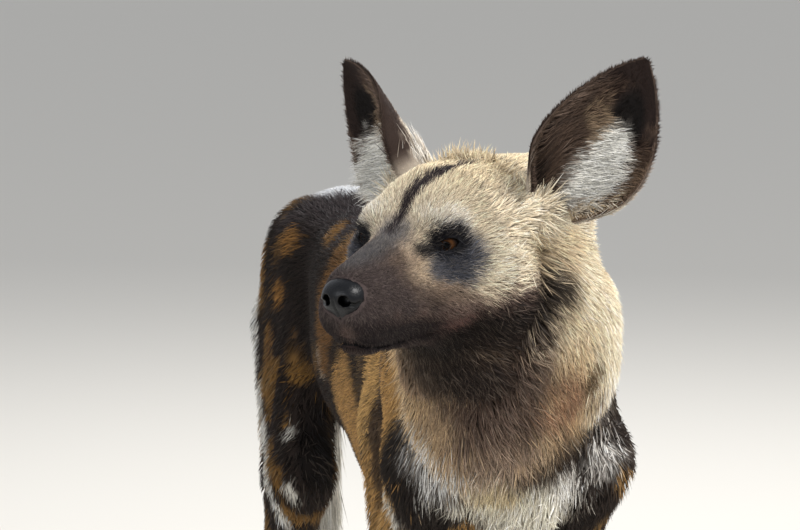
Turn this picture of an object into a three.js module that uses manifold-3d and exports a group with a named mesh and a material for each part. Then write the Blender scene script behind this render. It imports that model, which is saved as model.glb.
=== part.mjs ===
// An African wild dog (Lycaon pictus), life-size, standing, with its head turned to its right.
// Millimetres. +Z is up, +X is the animal's left and +Y runs from its chest to its tail. Z = 0 is the floor.
import * as THREE from "three";
import { mergeVertices } from "three/addons/utils/BufferGeometryUtils.js";
import Module from "manifold-3d";

const wasm = await Module();
wasm.setup();

// Driving dimensions
const withersHeight = 700;
const tailBase = 640;
const headTurn = 50; // degrees to the animal's right of its body
const eyeHeight = 735;
const halfGap = 0.15; // half the gap that is left between two pieces that meet
const gap = 2 * halfGap;

// Small tools
const point = (x, y, z) => new THREE.Vector3(x, y, z);
const radians = THREE.MathUtils.degToRad;
const mix = THREE.MathUtils.lerp;
const sides = [
  { name: "left", sign: 1 },
  { name: "right", sign: -1 },
];

// Colours read from the coat
const coat = (color, roughness = 0.85) => new THREE.MeshStandardMaterial({ color, roughness, metalness: 0 });
const finishes = {
  face: coat(0xc9ab7c),
  ear: coat(0x4a3c34),
  neck: coat(0xa58a68),
  trunk: coat(0x8a6a3c),
  leg: coat(0x4b4038),
  brush: coat(0xe4ded2),
  nose: coat(0x1b1b1f, 0.35),
  eye: coat(0x5a3413, 0.08),
  claw: coat(0x1f1b18, 0.5),
};

// Masses of flesh. Each is a function from a place to about how far that place lies outside it.
// A rod is a tapered limb from a to b. "wide" and "endWide" scale it across the body.
function rod(a, b, startRadius, endRadius, wide = 1, blend = 26, endWide = wide) {
  const [dx, dy, dz] = [b[0] - a[0], b[1] - a[1], b[2] - a[2]];
  const lengthSquared = dx * dx + dy * dy + dz * dz;
  const outside = (x, y, z) => {
    const [px, py, pz] = [x - a[0], y - a[1], z - a[2]];
    const share = Math.min(1, Math.max(0, (px * dx + py * dy + pz * dz) / lengthSquared));
    const across = (px - share * dx) / mix(wide, endWide, share);
    return Math.hypot(across, py - share * dy, pz - share * dz) - mix(startRadius, endRadius, share);
  };
  return { outside, blend };
}

// A ball is an ellipsoid with its own radius along each axis.
function ball(centre, radii, blend = 26) {
  const outside = (x, y, z) => {
    const [px, py, pz] = [x - centre[0], y - centre[1], z - centre[2]];
    const scaled = Math.hypot(px / radii[0], py / radii[1], pz / radii[2]);
    const steep = Math.hypot(px / radii[0] ** 2, py / radii[1] ** 2, pz / radii[2] ** 2);
    return steep < 1e-9 ? -Math.min(...radii) : (scaled * (scaled - 1)) / steep;
  };
  return { outside, blend };
}

// Joins masses with soft creases: a smooth minimum whose reach is each mass's blend.
function flesh(masses) {
  return (x, y, z) => {
    let nearest = 1e6;
    for (const mass of masses) {
      const distance = mass.outside(x, y, z);
      const overlap = Math.max(0, mass.blend - Math.abs(nearest - distance)) / mass.blend;
      nearest = Math.min(nearest, distance) - (overlap * overlap * mass.blend) / 4;
    }
    return nearest;
  };
}

const softUnion = (a, b, blend) => {
  const overlap = Math.max(0, blend - Math.abs(a - b)) / blend;
  return Math.min(a, b) - (overlap * overlap * blend) / 4;
};

// The head has a frame of its own, with x to its left, y to its back, z up and the origin between the eyes.
const headFrame = new THREE.Matrix4()
  .makeRotationZ(radians(-headTurn))
  .setPosition(point(-128, -446, eyeHeight));
const intoHead = headFrame.clone().invert();
const fromHead = (x, y, z) => point(x, y, z).applyMatrix4(headFrame);
const headDirection = (x, y, z) => point(x, y, z).transformDirection(headFrame);

const noseTip = -108;
const headMasses = [
  ball([0, 52, 8], [56, 64, 55], 20), // cranium
  rod([0, 92, 18], [0, 172, 2], 40, 50, 1.1, 26), // nape
  ball([0, 18, 18], [40, 40, 34], 20), // forehead
  ball([29, 2, 15], [18, 20, 13], 16), // brow
  ball([50, 36, -20], [25, 44, 30], 26), // cheekbone
  ball([46, 58, -46], [28, 40, 34], 26), // jaw muscle with its cheek fur
  rod([0, -4, -18], [0, -80, -37], 34, 24, 0.98, 22), // muzzle
  rod([0, 4, 2], [0, -84, -24], 17, 13, 1.1, 12), // bridge of the nose
  rod([22, -14, -47], [13, -80, -56], 20, 16, 1, 10), // flews
  rod([17, 40, -66], [6, -70, -74], 22, 11, 1, 14), // lower jaw
  ball([0, -76, -76], [16, 14, 9.5], 10), // chin
  rod([44, 70, 14], [74, 98, 24], 27, 15, 1, 18), // root of the ear
  rod([0, 44, -66], [0, 84, -96], 36, 50, 1.05, 26), // throat
];
const headFlesh = flesh(headMasses);

// Trunk, given for the left side and mirrored
const trunkMasses = [
  ball([0, -150, 550], [84, 200, 145], 30), // rib cage
  ball([0, 30, 573], [79, 190, 112], 40), // belly
  rod([0, -60, 640], [0, 210, 640], 52, 54, 1.1, 40), // loin
  ball([0, 250, 613], [66, 98, 84], 40), // croup
  rod([0, -310, 512], [0, -190, 452], 58, 54, 0.9, 40), // breastbone
  rod([0, -190, 452], [0, -10, 478], 54, 48, 0.9, 40), // brisket
  rod([0, -255, 632], [0, -130, 645], 56, 52, 1.05, 40), // withers
  rod([52, -225, 640], [72, -300, 520], 34, 42, 0.75, 30), // shoulder blade
];
const trunkFlesh = flesh(trunkMasses);
const trunk = (x, y, z) => trunkFlesh(Math.abs(x), y, z);

// Where each leg's joints are. A step moves the foot along the body.
function foreJoints({ sign }, step) {
  return {
    shoulder: [sign * 72, -300, 512],
    elbow: [sign * 74, -212, 402],
    wrist: [sign * 64, -222 + 0.6 * step, 180],
    foot: [sign * 62, -240 + step, 60],
  };
}
function hindJoints({ sign }, step) {
  return {
    hip: [sign * 46, 245, 616],
    knee: [sign * 67, 166 + 0.2 * step, 436],
    hock: [sign * 58, 312 + step, 215],
    foot: [sign * 58, 284 + step, 60],
  };
}
const steps = { left: { fore: -14, hind: 34 }, right: { fore: 6, hind: 0 } };
const shifted = ([x, y, z], dx, dy, dz) => [x + dx, y + dy, z + dz];

function foreMasses(side, { shoulder, elbow, wrist, foot }) {
  const out = side.sign;
  return [
    rod(shoulder, elbow, 44, 36, 0.72, 26), // upper arm
    rod([out * 66, -180, 530], shifted(elbow, 0, 18, 12), 46, 28, 0.7, 26), // triceps
    ball(shifted(elbow, -out * 4, 30, 8), [16, 18, 22], 18), // point of the elbow
    rod(elbow, wrist, 33, 18, 0.8, 20), // forearm
    ball(wrist, [19, 20, 25], 14), // wrist
    rod(wrist, foot, 16.5, 18, 0.95, 12), // pastern
    rod(foot, shifted(foot, 0, -16, -32), 17, 24, 1.05, 14), // paw
  ];
}
function hindMasses(side, { hip, knee, hock, foot }) {
  const out = side.sign;
  return [
    rod(hip, knee, 66, 46, 0.5, 30, 0.68), // thigh
    rod([out * 50, 292, 560], shifted(knee, 0, 56, -10), 44, 30, 0.76, 34, 0.8), // hamstring
    ball(shifted(knee, 0, -18, 4), [22, 20, 30], 20), // kneecap
    rod(knee, hock, 40, 17, 0.7, 22, 0.8), // gaskin
    rod(shifted(knee, 0, 46, -16), shifted(hock, 0, 20, 24), 31, 11, 0.66, 24), // calf and its tendon
    ball(hock, [16, 21, 24], 12), // hock
    rod(shifted(hock, 0, 8, 2), shifted(hock, 0, 24, 26), 13, 10, 1, 10), // point of the hock
    rod(hock, foot, 17, 15, 0.88, 12), // shank
    rod(foot, shifted(foot, 0, -16, -32), 15, 23, 1, 14), // paw
  ];
}

// The neck runs on one curve from the cut at the chest to the cut behind the jaw.
const torsoSpine = new THREE.CatmullRomCurve3([
  point(0, 300, 606),
  point(0, 190, 604),
  point(0, 60, 598),
  point(0, -80, 580),
  point(0, -190, 570),
  point(0, -256, 590),
  point(0, -300, 628),
]);
const headSpine = new THREE.CatmullRomCurve3([
  fromHead(0, 86, -34),
  fromHead(0, 52, -14),
  fromHead(0, 4, -18),
  fromHead(0, -40, -34),
  fromHead(0, -80, -44),
]);
const neckBase = torsoSpine.getPoint(1);
const neckBaseFacing = torsoSpine.getTangent(1);
const neckTop = headSpine.getPoint(0);
const neckTopFacing = headSpine.getTangent(0);
const neckSpine = new THREE.CubicBezierCurve3(
  neckBase,
  neckBase.clone().addScaledVector(neckBaseFacing, 55),
  neckTop.clone().addScaledVector(neckTopFacing, -55),
  neckTop,
);
const ruffCore = 6; // how much of the depth of the neck's long hair is filled, with the locks standing on it
const neckMasses = (hair) => {
  const along = [-0.35, 0, 0.25, 0.5, 0.75, 1];
  const radii = [90, 85, 74, 68, 66, 62];
  const places = along.map((t) =>
    (t < 0 ? neckBase.clone().addScaledVector(neckBaseFacing, t * 170) : neckSpine.getPoint(t)).toArray(),
  );
  const lengths = radii.slice(1).map((radius, i) => rod(places[i], places[i + 1], radii[i] + hair, radius + hair, 0.98, 30));
  const throat = rod([-74, -400, 672], [-36, -338, 566], 42 + hair, 56 + hair, 1, 34);
  return [...lengths, throat];
};
const ruffFlesh = flesh(neckMasses(ruffCore));

const inHead = (flat, x, y, z) => {
  const at = point(x, y, z).applyMatrix4(intoHead);
  return flat(Math.abs(at.x), at.y, at.z);
};
const frontField = (x, y, z) =>
  softUnion(softUnion(inHead(headFlesh, x, y, z), ruffFlesh(x, y, z), 24), trunk(x, y, z), 40);

// Boxes part the legs from the trunk. Each leans outwards from the groin or the armpit up to the hip or the shoulder.
function legBox({ sign }, { inner, outer, front, back, top }) {
  const lean = Math.atan2(outer[0] - inner[0], outer[1] - inner[1]);
  const deep = 220;
  const tall = 900;
  const frame = new THREE.Matrix4()
    .makeRotationY(sign * lean)
    .setPosition(point(sign * inner[0], (front + back) / 2, inner[1]));
  const half = point(deep / 2, (back - front) / 2, tall / 2);
  const middle = point((sign * deep) / 2, 0, top - inner[1] - tall / 2);
  const inverse = frame.clone().invert();
  const depth = (p) => {
    const local = p.clone().applyMatrix4(inverse).sub(middle);
    return Math.min(half.x - Math.abs(local.x), half.y - Math.abs(local.y), half.z - Math.abs(local.z));
  };
  const solid = (grow) =>
    manifoldOf(
      new THREE.BoxGeometry(2 * (half.x + grow), 2 * (half.y + grow), 2 * (half.z + grow))
        .translate(middle.x, middle.y, middle.z)
        .applyMatrix4(frame),
    );
  return { depth, solid };
}
const foreBoxSize = { inner: [34, 388], outer: [80, 545], front: -420, back: -146, top: 530 };
const hindBoxSize = { inner: [20, 436], outer: [62, 600], front: 118, back: 470, top: 596 };

// Solids
function manifoldOf(geometry) {
  const plain = geometry.clone();
  for (const name of Object.keys(plain.attributes)) {
    if (name !== "position") plain.deleteAttribute(name);
  }
  const merged = mergeVertices(plain, 1e-4);
  return new wasm.Manifold(
    new wasm.Mesh({
      numProp: 3,
      vertProperties: new Float32Array(merged.attributes.position.array),
      triVerts: new Uint32Array(merged.index.array),
    }),
  );
}

// Keeps the largest closed surface, so that a sealed hollow is filled and a loose scrap is dropped.
function largest(solid) {
  return solid.decompose().reduce((best, piece) => (piece.volume() > best.volume() ? piece : best));
}

function meshOf(name, solid, finish) {
  const { vertProperties, triVerts, numProp } = largest(solid).getMesh();
  const positions = new Float32Array((vertProperties.length / numProp) * 3);
  for (let i = 0; i * numProp < vertProperties.length; i += 1) {
    positions.set(vertProperties.subarray(i * numProp, i * numProp + 3), 3 * i);
  }
  const geometry = new THREE.BufferGeometry()
    .setAttribute("position", new THREE.BufferAttribute(positions, 3))
    .setIndex(new THREE.BufferAttribute(new Uint32Array(triVerts), 1));
  const mesh = new THREE.Mesh(geometry, finish);
  mesh.name = name;
  return mesh;
}

// Finds the surface of a field along a ray, or stops where the ray leaves its region.
function reachSkin(field, from, direction, { level = 0, farthest = 260, leaves = () => false }) {
  const stride = 4;
  const at = (distance) => from.clone().addScaledVector(direction, distance);
  const isOut = (p) => field(p.x, p.y, p.z) > level || leaves(p);
  let near = 0;
  let far = stride;
  while (far < farthest && !isOut(at(far))) {
    near = far;
    far += stride;
  }
  for (let halving = 0; halving < 10; halving += 1) {
    const middle = (near + far) / 2;
    if (isOut(at(middle))) far = middle;
    else near = middle;
  }
  return at((near + far) / 2);
}

// Builds a closed geometry from rings of points, with a point at each end.
function closeRings(rings, startPoint, endPoint) {
  const around = rings[0].length;
  const points = [startPoint, ...rings.flat(), endPoint];
  const ring = (j, i) => 1 + j * around + (i % around);
  const last = points.length - 1;
  const faces = [];
  for (let i = 0; i < around; i += 1) {
    faces.push(0, ring(0, i + 1), ring(0, i));
    faces.push(last, ring(rings.length - 1, i), ring(rings.length - 1, i + 1));
    for (let j = 0; j + 1 < rings.length; j += 1) {
      faces.push(ring(j, i), ring(j, i + 1), ring(j + 1, i + 1));
      faces.push(ring(j, i), ring(j + 1, i + 1), ring(j + 1, i));
    }
  }
  return new THREE.BufferGeometry().setFromPoints(points).setIndex(faces);
}

// Wraps a field in rings of rays. A ring has a centre, a facing and a lean of its rays towards that facing.
function wrap(field, rings, around, options = {}) {
  const up = options.up ?? point(0, 0, 1);
  const loops = rings.map(({ centre, facing, lean = 0 }) => {
    const right = up.clone().cross(facing).normalize();
    const over = facing.clone().cross(right);
    return Array.from({ length: around }, (_, i) => {
      const angle = (2 * Math.PI * i) / around;
      const ray = right
        .clone()
        .multiplyScalar(Math.cos(angle))
        .addScaledVector(over, Math.sin(angle))
        .multiplyScalar(Math.cos(radians(lean)))
        .addScaledVector(facing, Math.sin(radians(lean)));
      return reachSkin(field, centre, ray, options);
    });
  });
  const end = ({ centre, facing, lean = 0 }, way) =>
    lean === 0 ? centre : reachSkin(field, centre, facing.clone().multiplyScalar(way), options);
  return manifoldOf(closeRings(loops, end(rings[0], -1), end(rings[rings.length - 1], 1)));
}

// Rings spaced evenly along a curve, then leaned over where an end is rounded.
function ringsAlong(curve, count, { roundStart = 0, roundEnd = 0, trimStart = 0, trimEnd = 0 } = {}) {
  const rings = [];
  for (let i = 0; i < count; i += 1) {
    const share = i / (count - 1);
    const facing = curve.getTangentAt(share);
    const trim = i === 0 ? trimStart : i === count - 1 ? -trimEnd : 0;
    rings.push({ centre: curve.getPointAt(share).addScaledVector(facing, trim), facing });
  }
  const leaned = (ring, turns, way) =>
    Array.from({ length: turns }, (_, i) => ({ ...ring, lean: (way * 90 * (i + 1)) / (turns + 0.6) }));
  return [
    ...leaned(rings[0], roundStart, -1).reverse(),
    ...rings,
    ...leaned(rings[count - 1], roundEnd, 1),
  ];
}

// Cuts a solid flat, keeping what lies on the side that "facing" points to.
function keepAhead(solid, place, facing, clear = halfGap) {
  const flat = facing.clone().normalize();
  return solid.trimByPlane(flat.toArray(), flat.dot(place) + clear);
}
const keepBehind = (solid, place, facing, clear) => keepAhead(solid, place, facing.clone().negate(), clear);

function blob(centre, radii, widthSegments, heightSegments, turn = new THREE.Matrix4()) {
  const shape = new THREE.SphereGeometry(1, widthSegments, Math.round(heightSegments)).scale(...radii);
  return manifoldOf(shape.applyMatrix4(turn).translate(...centre));
}

// Torso
const foreBoxes = sides.map((side) => legBox(side, foreBoxSize));
const hindBoxes = sides.map((side) => legBox(side, hindBoxSize));
const legBoxes = [...foreBoxes, ...hindBoxes];
const legs = sides.map((side) => {
  const fore = foreJoints(side, steps[side.name].fore);
  const hind = hindJoints(side, steps[side.name].hind);
  return {
    side,
    fore,
    hind,
    foreField: flesh([...foreMasses(side, fore)]),
    hindField: flesh([...hindMasses(side, hind)]),
  };
});
const upperLegs = (x, y, z) => {
  const leg = x > 0 ? legs[0] : legs[1];
  return y < 0 ? leg.foreField(x, y, z) : leg.hindField(x, y, z);
};
const bodyField = (x, y, z) => softUnion(frontField(x, y, z), upperLegs(x, y, z), 34);

function torsoSolid(grow = 0) {
  const rings = ringsAlong(torsoSpine, 25, { roundStart: 4, trimEnd: -3 });
  const stump = 36; // how far the trunk runs into a leg before the leg's box cuts it off
  const leaves = (p) => legBoxes.some((box) => box.depth(p) > stump);
  const solid = wrap(bodyField, rings, 26, { leaves, level: grow, farthest: 330 });
  return keepBehind(solid, neckBase, neckBaseFacing, halfGap - grow);
}

// Legs, wrapped in level rings from the trunk down to the foot
function legSolid(field, joints, box, { top, bottom, rings, around }) {
  const joined = Object.values(joints).map((j) => point(...j));
  const [first, last] = [joined[0], joined[joined.length - 1]];
  const path = new THREE.CatmullRomCurve3(
    [point(last.x, last.y, bottom), ...joined.reverse(), point(first.x * 1.25, first.y, top)],
    false,
    "catmullrom",
    0.4,
  );
  const loops = Array.from({ length: rings }, (_, i) => {
    const centre = path.getPointAt(i / (rings - 1));
    const level = THREE.MathUtils.smoothstep(centre.z, first.z - 190, first.z - 60);
    const facing = path.getTangentAt(i / (rings - 1)).lerp(point(0, 0, 1), level).normalize();
    return { centre, facing };
  });
  const leaves = (p) => box.depth(p) < -36;
  return wrap(field, loops, around, { leaves, up: point(0, -1, 0), farthest: 200 }).intersect(box.solid(-halfGap));
}

const toeCount = 4;
const toeSpread = 14.5;
const toeRadii = [9.2, 19, 13.5];
const toeCentre = ([x, y], i) => {
  const off = i - (toeCount - 1) / 2;
  return [x + off * toeSpread, y - 31 + Math.abs(off) * 7, 11.5];
};
const floorBox = manifoldOf(new THREE.BoxGeometry(1200, 1600, 200).translate(0, 0, -100));
function footSolid(foot) {
  const pad = blob([foot[0], foot[1] - 2, 21], [24, 28, 24], 10, 7);
  const toes = Array.from({ length: toeCount }, (_, i) => blob(toeCentre(foot, i), toeRadii, 8, 6));
  return wasm.Manifold.union([pad, ...toes]);
}

const clawLength = 15;
function clawMesh(name, foot, i) {
  const toe = toeCentre(foot, i);
  const claw = new THREE.ConeGeometry(4.4, clawLength + 10, 6, 1);
  const shape = claw
    .rotateX(radians(-152))
    .translate(toe[0], toe[1] - toeRadii[1] - 1, toe[2] - 1);
  const root = blob(toe, toeRadii.map((r) => r + gap), 8, 6);
  const neighbours = [i - 1, i + 1].map((k) => blob(toeCentre(foot, k), toeRadii.map((r) => r + gap), 8, 6));
  return meshOf(name, neighbours.reduce((solid, n) => solid.subtract(n), manifoldOf(shape).subtract(root)), finishes.claw);
}

function legMeshes({ side, fore, hind }, index) {
  const meshes = [];
  const pairs = [
    { place: "fore", joints: fore, box: foreBoxes[index], top: 575, rings: 20, around: 12 },
    { place: "hind", joints: hind, box: hindBoxes[index], top: 640, rings: 24, around: 12 },
  ];
  for (const { place, joints, box, ...shape } of pairs) {
    const leg = legSolid(bodyField, joints, box, { bottom: 15, ...shape });
    const solid = leg.add(footSolid(joints.foot)).subtract(floorBox);
    meshes.push(meshOf(`${place}leg_${side.name}`, solid, finishes.leg));
    for (let i = 0; i < toeCount; i += 1) {
      meshes.push(clawMesh(`claw_${place}_${side.name}_${i + 1}`, joints.foot, i));
    }
  }
  return meshes;
}

// Eyes
const eyeRadius = 12.5;
const eyeCentre = ({ sign }) => [sign * 37, 1, 0];
const eyeTurn = ({ sign }) =>
  new THREE.Matrix4().makeRotationZ(radians(sign * 24)).multiply(new THREE.Matrix4().makeRotationY(radians(-sign * 14)));
const lid = 2.6;
const eyeSphere = (side, radius, detail) =>
  blob(eyeCentre(side), [radius, radius, radius], detail, detail * 0.6).transform(headFrame.toArray());

// The almond opening between the lids, drawn on the plane across the eye and pushed out through it
function eyeOpening(side) {
  const [half, over, under] = [13, 6.4, 4.6];
  const almond = new THREE.Shape()
    .moveTo(-half, 0)
    .quadraticCurveTo(0, -2 * under, half, 0)
    .quadraticCurveTo(0, 2 * over, -half, 0);
  const shape = new THREE.ExtrudeGeometry(almond, { depth: 40, bevelEnabled: false, curveSegments: 8 })
    .rotateX(Math.PI / 2)
    .applyMatrix4(eyeTurn(side))
    .translate(...eyeCentre(side))
    .applyMatrix4(headFrame);
  return manifoldOf(shape);
}

// Nose
const noseMasses = [
  ball([0, -94, -36], [18, 18, 15.5], 6), // pad
  ball([9, -92, -38], [10.5, 16, 13], 6), // wing
  ball([0, -88, -50], [9, 14, 12], 8), // furrow below
];
const noseFlesh = flesh(noseMasses);
function noseSolid(level = 0) {
  const spine = new THREE.LineCurve3(fromHead(0, -72, -36), fromHead(0, -96, -38));
  const rings = ringsAlong(spine, 5, { roundEnd: 4, trimStart: -level });
  return wrap((x, y, z) => inHead(noseFlesh, x, y, z), rings, 16, { level });
}
function nostril({ sign }) {
  const hole = blob([0, 0, 0], [4.6, 9, 4.2], 7, 5)
    .rotate([12, 0, sign * 30])
    .translate([sign * 9, -109, -39]);
  const slit = blob([0, 0, 0], [8, 5, 1.8], 7, 5)
    .rotate([0, -sign * 24, sign * 34])
    .translate([sign * 16, -102, -40.5]);
  return hole.add(slit).transform(headFrame.toArray());
}

// Head
const mouthLine = [
  [0, -100, -64],
  [9, -97, -67],
  [17, -86, -72],
  [25, -62, -75],
  [32, -34, -73],
  [40, -6, -66],
];
function mouthGroove({ sign }) {
  const points = mouthLine.map(([x, y, z]) => point(sign * x, y, z));
  const section = new THREE.Shape().absarc(0, 0, 2.2, 0, 2 * Math.PI);
  const tube = new THREE.ExtrudeGeometry(section, {
    extrudePath: new THREE.CatmullRomCurve3(points),
    steps: 9,
    curveSegments: 3,
  });
  return manifoldOf(tube.applyMatrix4(headFrame));
}
function headSolid(level = 0) {
  const rings = ringsAlong(headSpine, 23, { roundEnd: 4, trimStart: -3 });
  const solid = wrap(frontField, rings, 32, { level, farthest: 150, up: headDirection(0, 0, 1) });
  return keepAhead(solid, neckTop, neckTopFacing, halfGap - level);
}
function headMesh() {
  let head = headSolid();
  for (const side of sides) head = head.add(eyeSphere(side, eyeRadius + lid, 14));
  for (const side of sides) head = head.subtract(eyeOpening(side)).subtract(mouthGroove(side));
  for (const side of sides) head = head.subtract(eyeSphere(side, eyeRadius + gap, 14));
  return meshOf("head", head.subtract(noseSolid(gap)), finishes.face);
}

// Ears: a curled sheet, broad and round, whose edges come forward round the opening
const ears = {
  left: { base: point(80, 95, 30), tip: point(155, 119, 149), facing: point(0.29, -0.95, 0.12), inner: 1 },
  right: { base: point(52, 107, 34), tip: point(152, 119, 132), facing: point(0.6, -0.79, 0.1), inner: 1.2 },
};
const earHalfWidth = 57; // at its broadest, round the curl
const earBow = 8; // how far its middle bows towards the crown
function earSection(share, deep, columns, inner) {
  const fold = mix(0.42, 1.9, (1 - share) ** 2.2);
  const narrow = 1 - 0.26 * (1 - Math.min(1, share / 0.25)) ** 1.5;
  const rounded = Math.max(0.02, 1 - (Math.max(0, share - 0.2) / 0.8) ** 1.8) ** 0.8;
  const halfWidth = earHalfWidth * narrow * rounded;
  const heading = (across) => fold * across * (1 + 0.35 * across);
  const walk = (across) => {
    const half = across > 0 ? halfWidth * inner : halfWidth;
    const stepCount = 12;
    let [side, front] = [0, 0];
    for (let i = 0; i < stepCount; i += 1) {
      const turn = heading((across * (i + 0.5)) / stepCount);
      side += (half * across * Math.cos(turn)) / stepCount;
      front += (half * across * Math.sin(turn)) / stepCount;
    }
    const turn = heading(across);
    return [side + deep * Math.sin(turn), front - deep * Math.cos(turn)];
  };
  return Array.from({ length: columns + 1 }, (_, i) => walk((2 * i) / columns - 1));
}
function earSolid({ name, sign }) {
  const { base, tip, facing, inner: innerShare } = ears[name];
  const along = tip.clone().sub(base);
  const length = along.length();
  along.normalize();
  const front = facing.clone().addScaledVector(along, -facing.dot(along)).normalize();
  const side = along.clone().cross(front).multiplyScalar(-1);
  const [rows, columns] = [10, 8];
  const loops = Array.from({ length: rows + 1 }, (_, row) => {
    const share = 1 - (1 - row / rows) ** 1.4;
    const middle = base
      .clone()
      .addScaledVector(along, share * length)
      .addScaledVector(side, -earBow * Math.sin(Math.PI * share));
    const place = ([sideways, forwards]) =>
      middle.clone().addScaledVector(side, sideways).addScaledVector(front, forwards);
    const outer = earSection(share, mix(6, 3.4, share), columns, innerShare).map(place);
    const inner = earSection(share, 0, columns, innerShare).map(place).reverse();
    return [...outer, ...inner];
  });
  const middleOf = (loop) => loop[columns / 2].clone().add(loop[columns + 1 + columns / 2]).multiplyScalar(0.5);
  const mirror = new THREE.Matrix4().makeScale(sign, 1, 1);
  const shape = closeRings(loops, middleOf(loops[0]), middleOf(loops[rows]))
    .applyMatrix4(mirror)
    .applyMatrix4(headFrame);
  const solid = manifoldOf(shape);
  return solid.volume() < 0 ? manifoldOf(shape.setIndex([...shape.index.array].reverse())) : solid;
}

// Locks of long hair: flat, tapered and bent, lying over one another like tiles
const random = (() => {
  let state = 20417;
  return () => {
    state = (state * 1664525 + 1013904223) % 4294967296;
    return state / 4294967296;
  };
})();
const vary = (amount) => 1 + amount * (2 * random() - 1);
function lock({ root, lie, out, length, width, thick, lift, sunk }) {
  const across = lie.clone().cross(out).normalize();
  const upward = across.clone().cross(lie).normalize();
  const sections = [
    { at: 0, broad: 0.62, deep: 0.8 },
    { at: 0.36, broad: 1, deep: 1 },
    { at: 0.72, broad: 0.62, deep: 0.6 },
  ];
  const along = (t) =>
    root
      .clone()
      .addScaledVector(lie, length * t)
      .addScaledVector(upward, -sunk + length * lift * (1.7 * t - 0.7 * t * t));
  const loops = sections.map(({ at, broad, deep }) => {
    const centre = along(at);
    const corner = (a, b) =>
      centre.clone().addScaledVector(across, (a * width * broad) / 2).addScaledVector(upward, (b * thick * deep) / 2);
    return [corner(1, 0), corner(0, 1), corner(-1, 0), corner(0, -1)];
  });
  const solid = manifoldOf(closeRings(loops, along(-0.04), along(1)));
  return solid.volume() > 0 ? solid : manifoldOf(closeRings(loops.map((l) => l.reverse()), along(-0.04), along(1)));
}
function withLocks(core, locks) {
  return wasm.Manifold.union([core, ...locks.map(lock)]);
}

// Neck
const ruffRows = [0.93, 0.76, 0.6, 0.44, 0.28];
const ruffAround = 10;
function ruffLocks() {
  const locks = [];
  ruffRows.forEach((t, row) => {
    const centre = neckSpine.getPointAt(t);
    const facing = neckSpine.getTangentAt(t);
    const side = point(0, 0, 1).cross(facing).normalize();
    const over = facing.clone().cross(side);
    for (let i = 0; i < ruffAround; i += 1) {
      const angle = (2 * Math.PI * (i + 0.5 * (row % 2) + 0.25 * (2 * random() - 1))) / ruffAround;
      const ray = side.clone().multiplyScalar(Math.cos(angle)).addScaledVector(over, Math.sin(angle));
      const root = reachSkin(bodyField, centre, ray, { farthest: 170 });
      const lie = facing.clone().negate().addScaledVector(point(0, 0, -1), 0.35);
      lie.addScaledVector(ray, -lie.dot(ray)).normalize();
      const length = 44 * vary(0.15) * (row === ruffRows.length - 1 ? 0.8 : 1);
      locks.push({ root, lie, out: ray, length, width: 36 * vary(0.15), thick: 8, lift: 0.28, sunk: 4 });
    }
  });
  return locks;
}
function neckSolid() {
  const rings = ringsAlong(neckSpine, 9, { trimStart: -3, trimEnd: -3 });
  const solid = withLocks(wrap(bodyField, rings, 28, { farthest: 170 }), ruffLocks());
  return keepBehind(keepAhead(solid, neckBase, neckBaseFacing), neckTop, neckTopFacing);
}

// Tail
const tailSpine = new THREE.CatmullRomCurve3([
  point(0, 292, tailBase + 6),
  point(0, 336, tailBase - 6),
  point(0, 366, tailBase - 60),
  point(0, 381, tailBase - 150),
  point(0, 384, tailBase - 240),
  point(0, 380, tailBase - 300),
]);
const brushRadius = 46; // the brush at its fullest, out to the tips of its hair
const tailGirth = (t) => {
  const brush = Math.sin(Math.PI * Math.min(1, Math.max(0, (t - 0.22) / 0.86)) ** 0.8);
  return mix(23 - 9 * Math.min(1, t / 0.3), brushRadius * 0.52, Math.max(0, brush));
};
function brushLocks() {
  const locks = [];
  const rows = 7;
  const around = 6;
  for (let row = 0; row < rows; row += 1) {
    const t = mix(0.26, 0.985, row / (rows - 1));
    const centre = tailSpine.getPointAt(t);
    const facing = tailSpine.getTangentAt(t);
    const side = point(1, 0, 0);
    const over = facing.clone().cross(side);
    const last = row === rows - 1;
    for (let i = 0; i < around; i += 1) {
      const angle = (2 * Math.PI * (i + 0.5 * (row % 2) + 0.2 * (2 * random() - 1))) / around;
      const ray = side.clone().multiplyScalar(Math.cos(angle)).addScaledVector(over, Math.sin(angle));
      const root = centre.clone().addScaledVector(ray, last ? 9 : 0.86 * tailGirth(t));
      const length = (last ? 62 : mix(72, 90, row / rows)) * vary(0.14);
      const lift = last ? 0.06 : mix(0.24, 0.34, Math.sin(Math.PI * t));
      locks.push({ root, lie: facing, out: ray, length, width: 27 * vary(0.12), thick: 8, lift, sunk: 3 });
    }
  }
  return locks;
}
function tailSolid() {
  const rings = ringsAlong(tailSpine, 15);
  const around = 10;
  const loops = rings.map(({ centre, facing }, j) => {
    const across = point(1, 0, 0);
    const back = facing.clone().cross(across);
    const radius = tailGirth(j / (rings.length - 1));
    return Array.from({ length: around }, (_, i) => {
      const angle = (2 * Math.PI * i) / around;
      return centre
        .clone()
        .addScaledVector(across, radius * Math.cos(angle))
        .addScaledVector(back, radius * Math.sin(angle));
    });
  });
  const core = manifoldOf(closeRings(loops, rings[0].centre, rings[rings.length - 1].centre));
  return withLocks(core, brushLocks());
}

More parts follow.
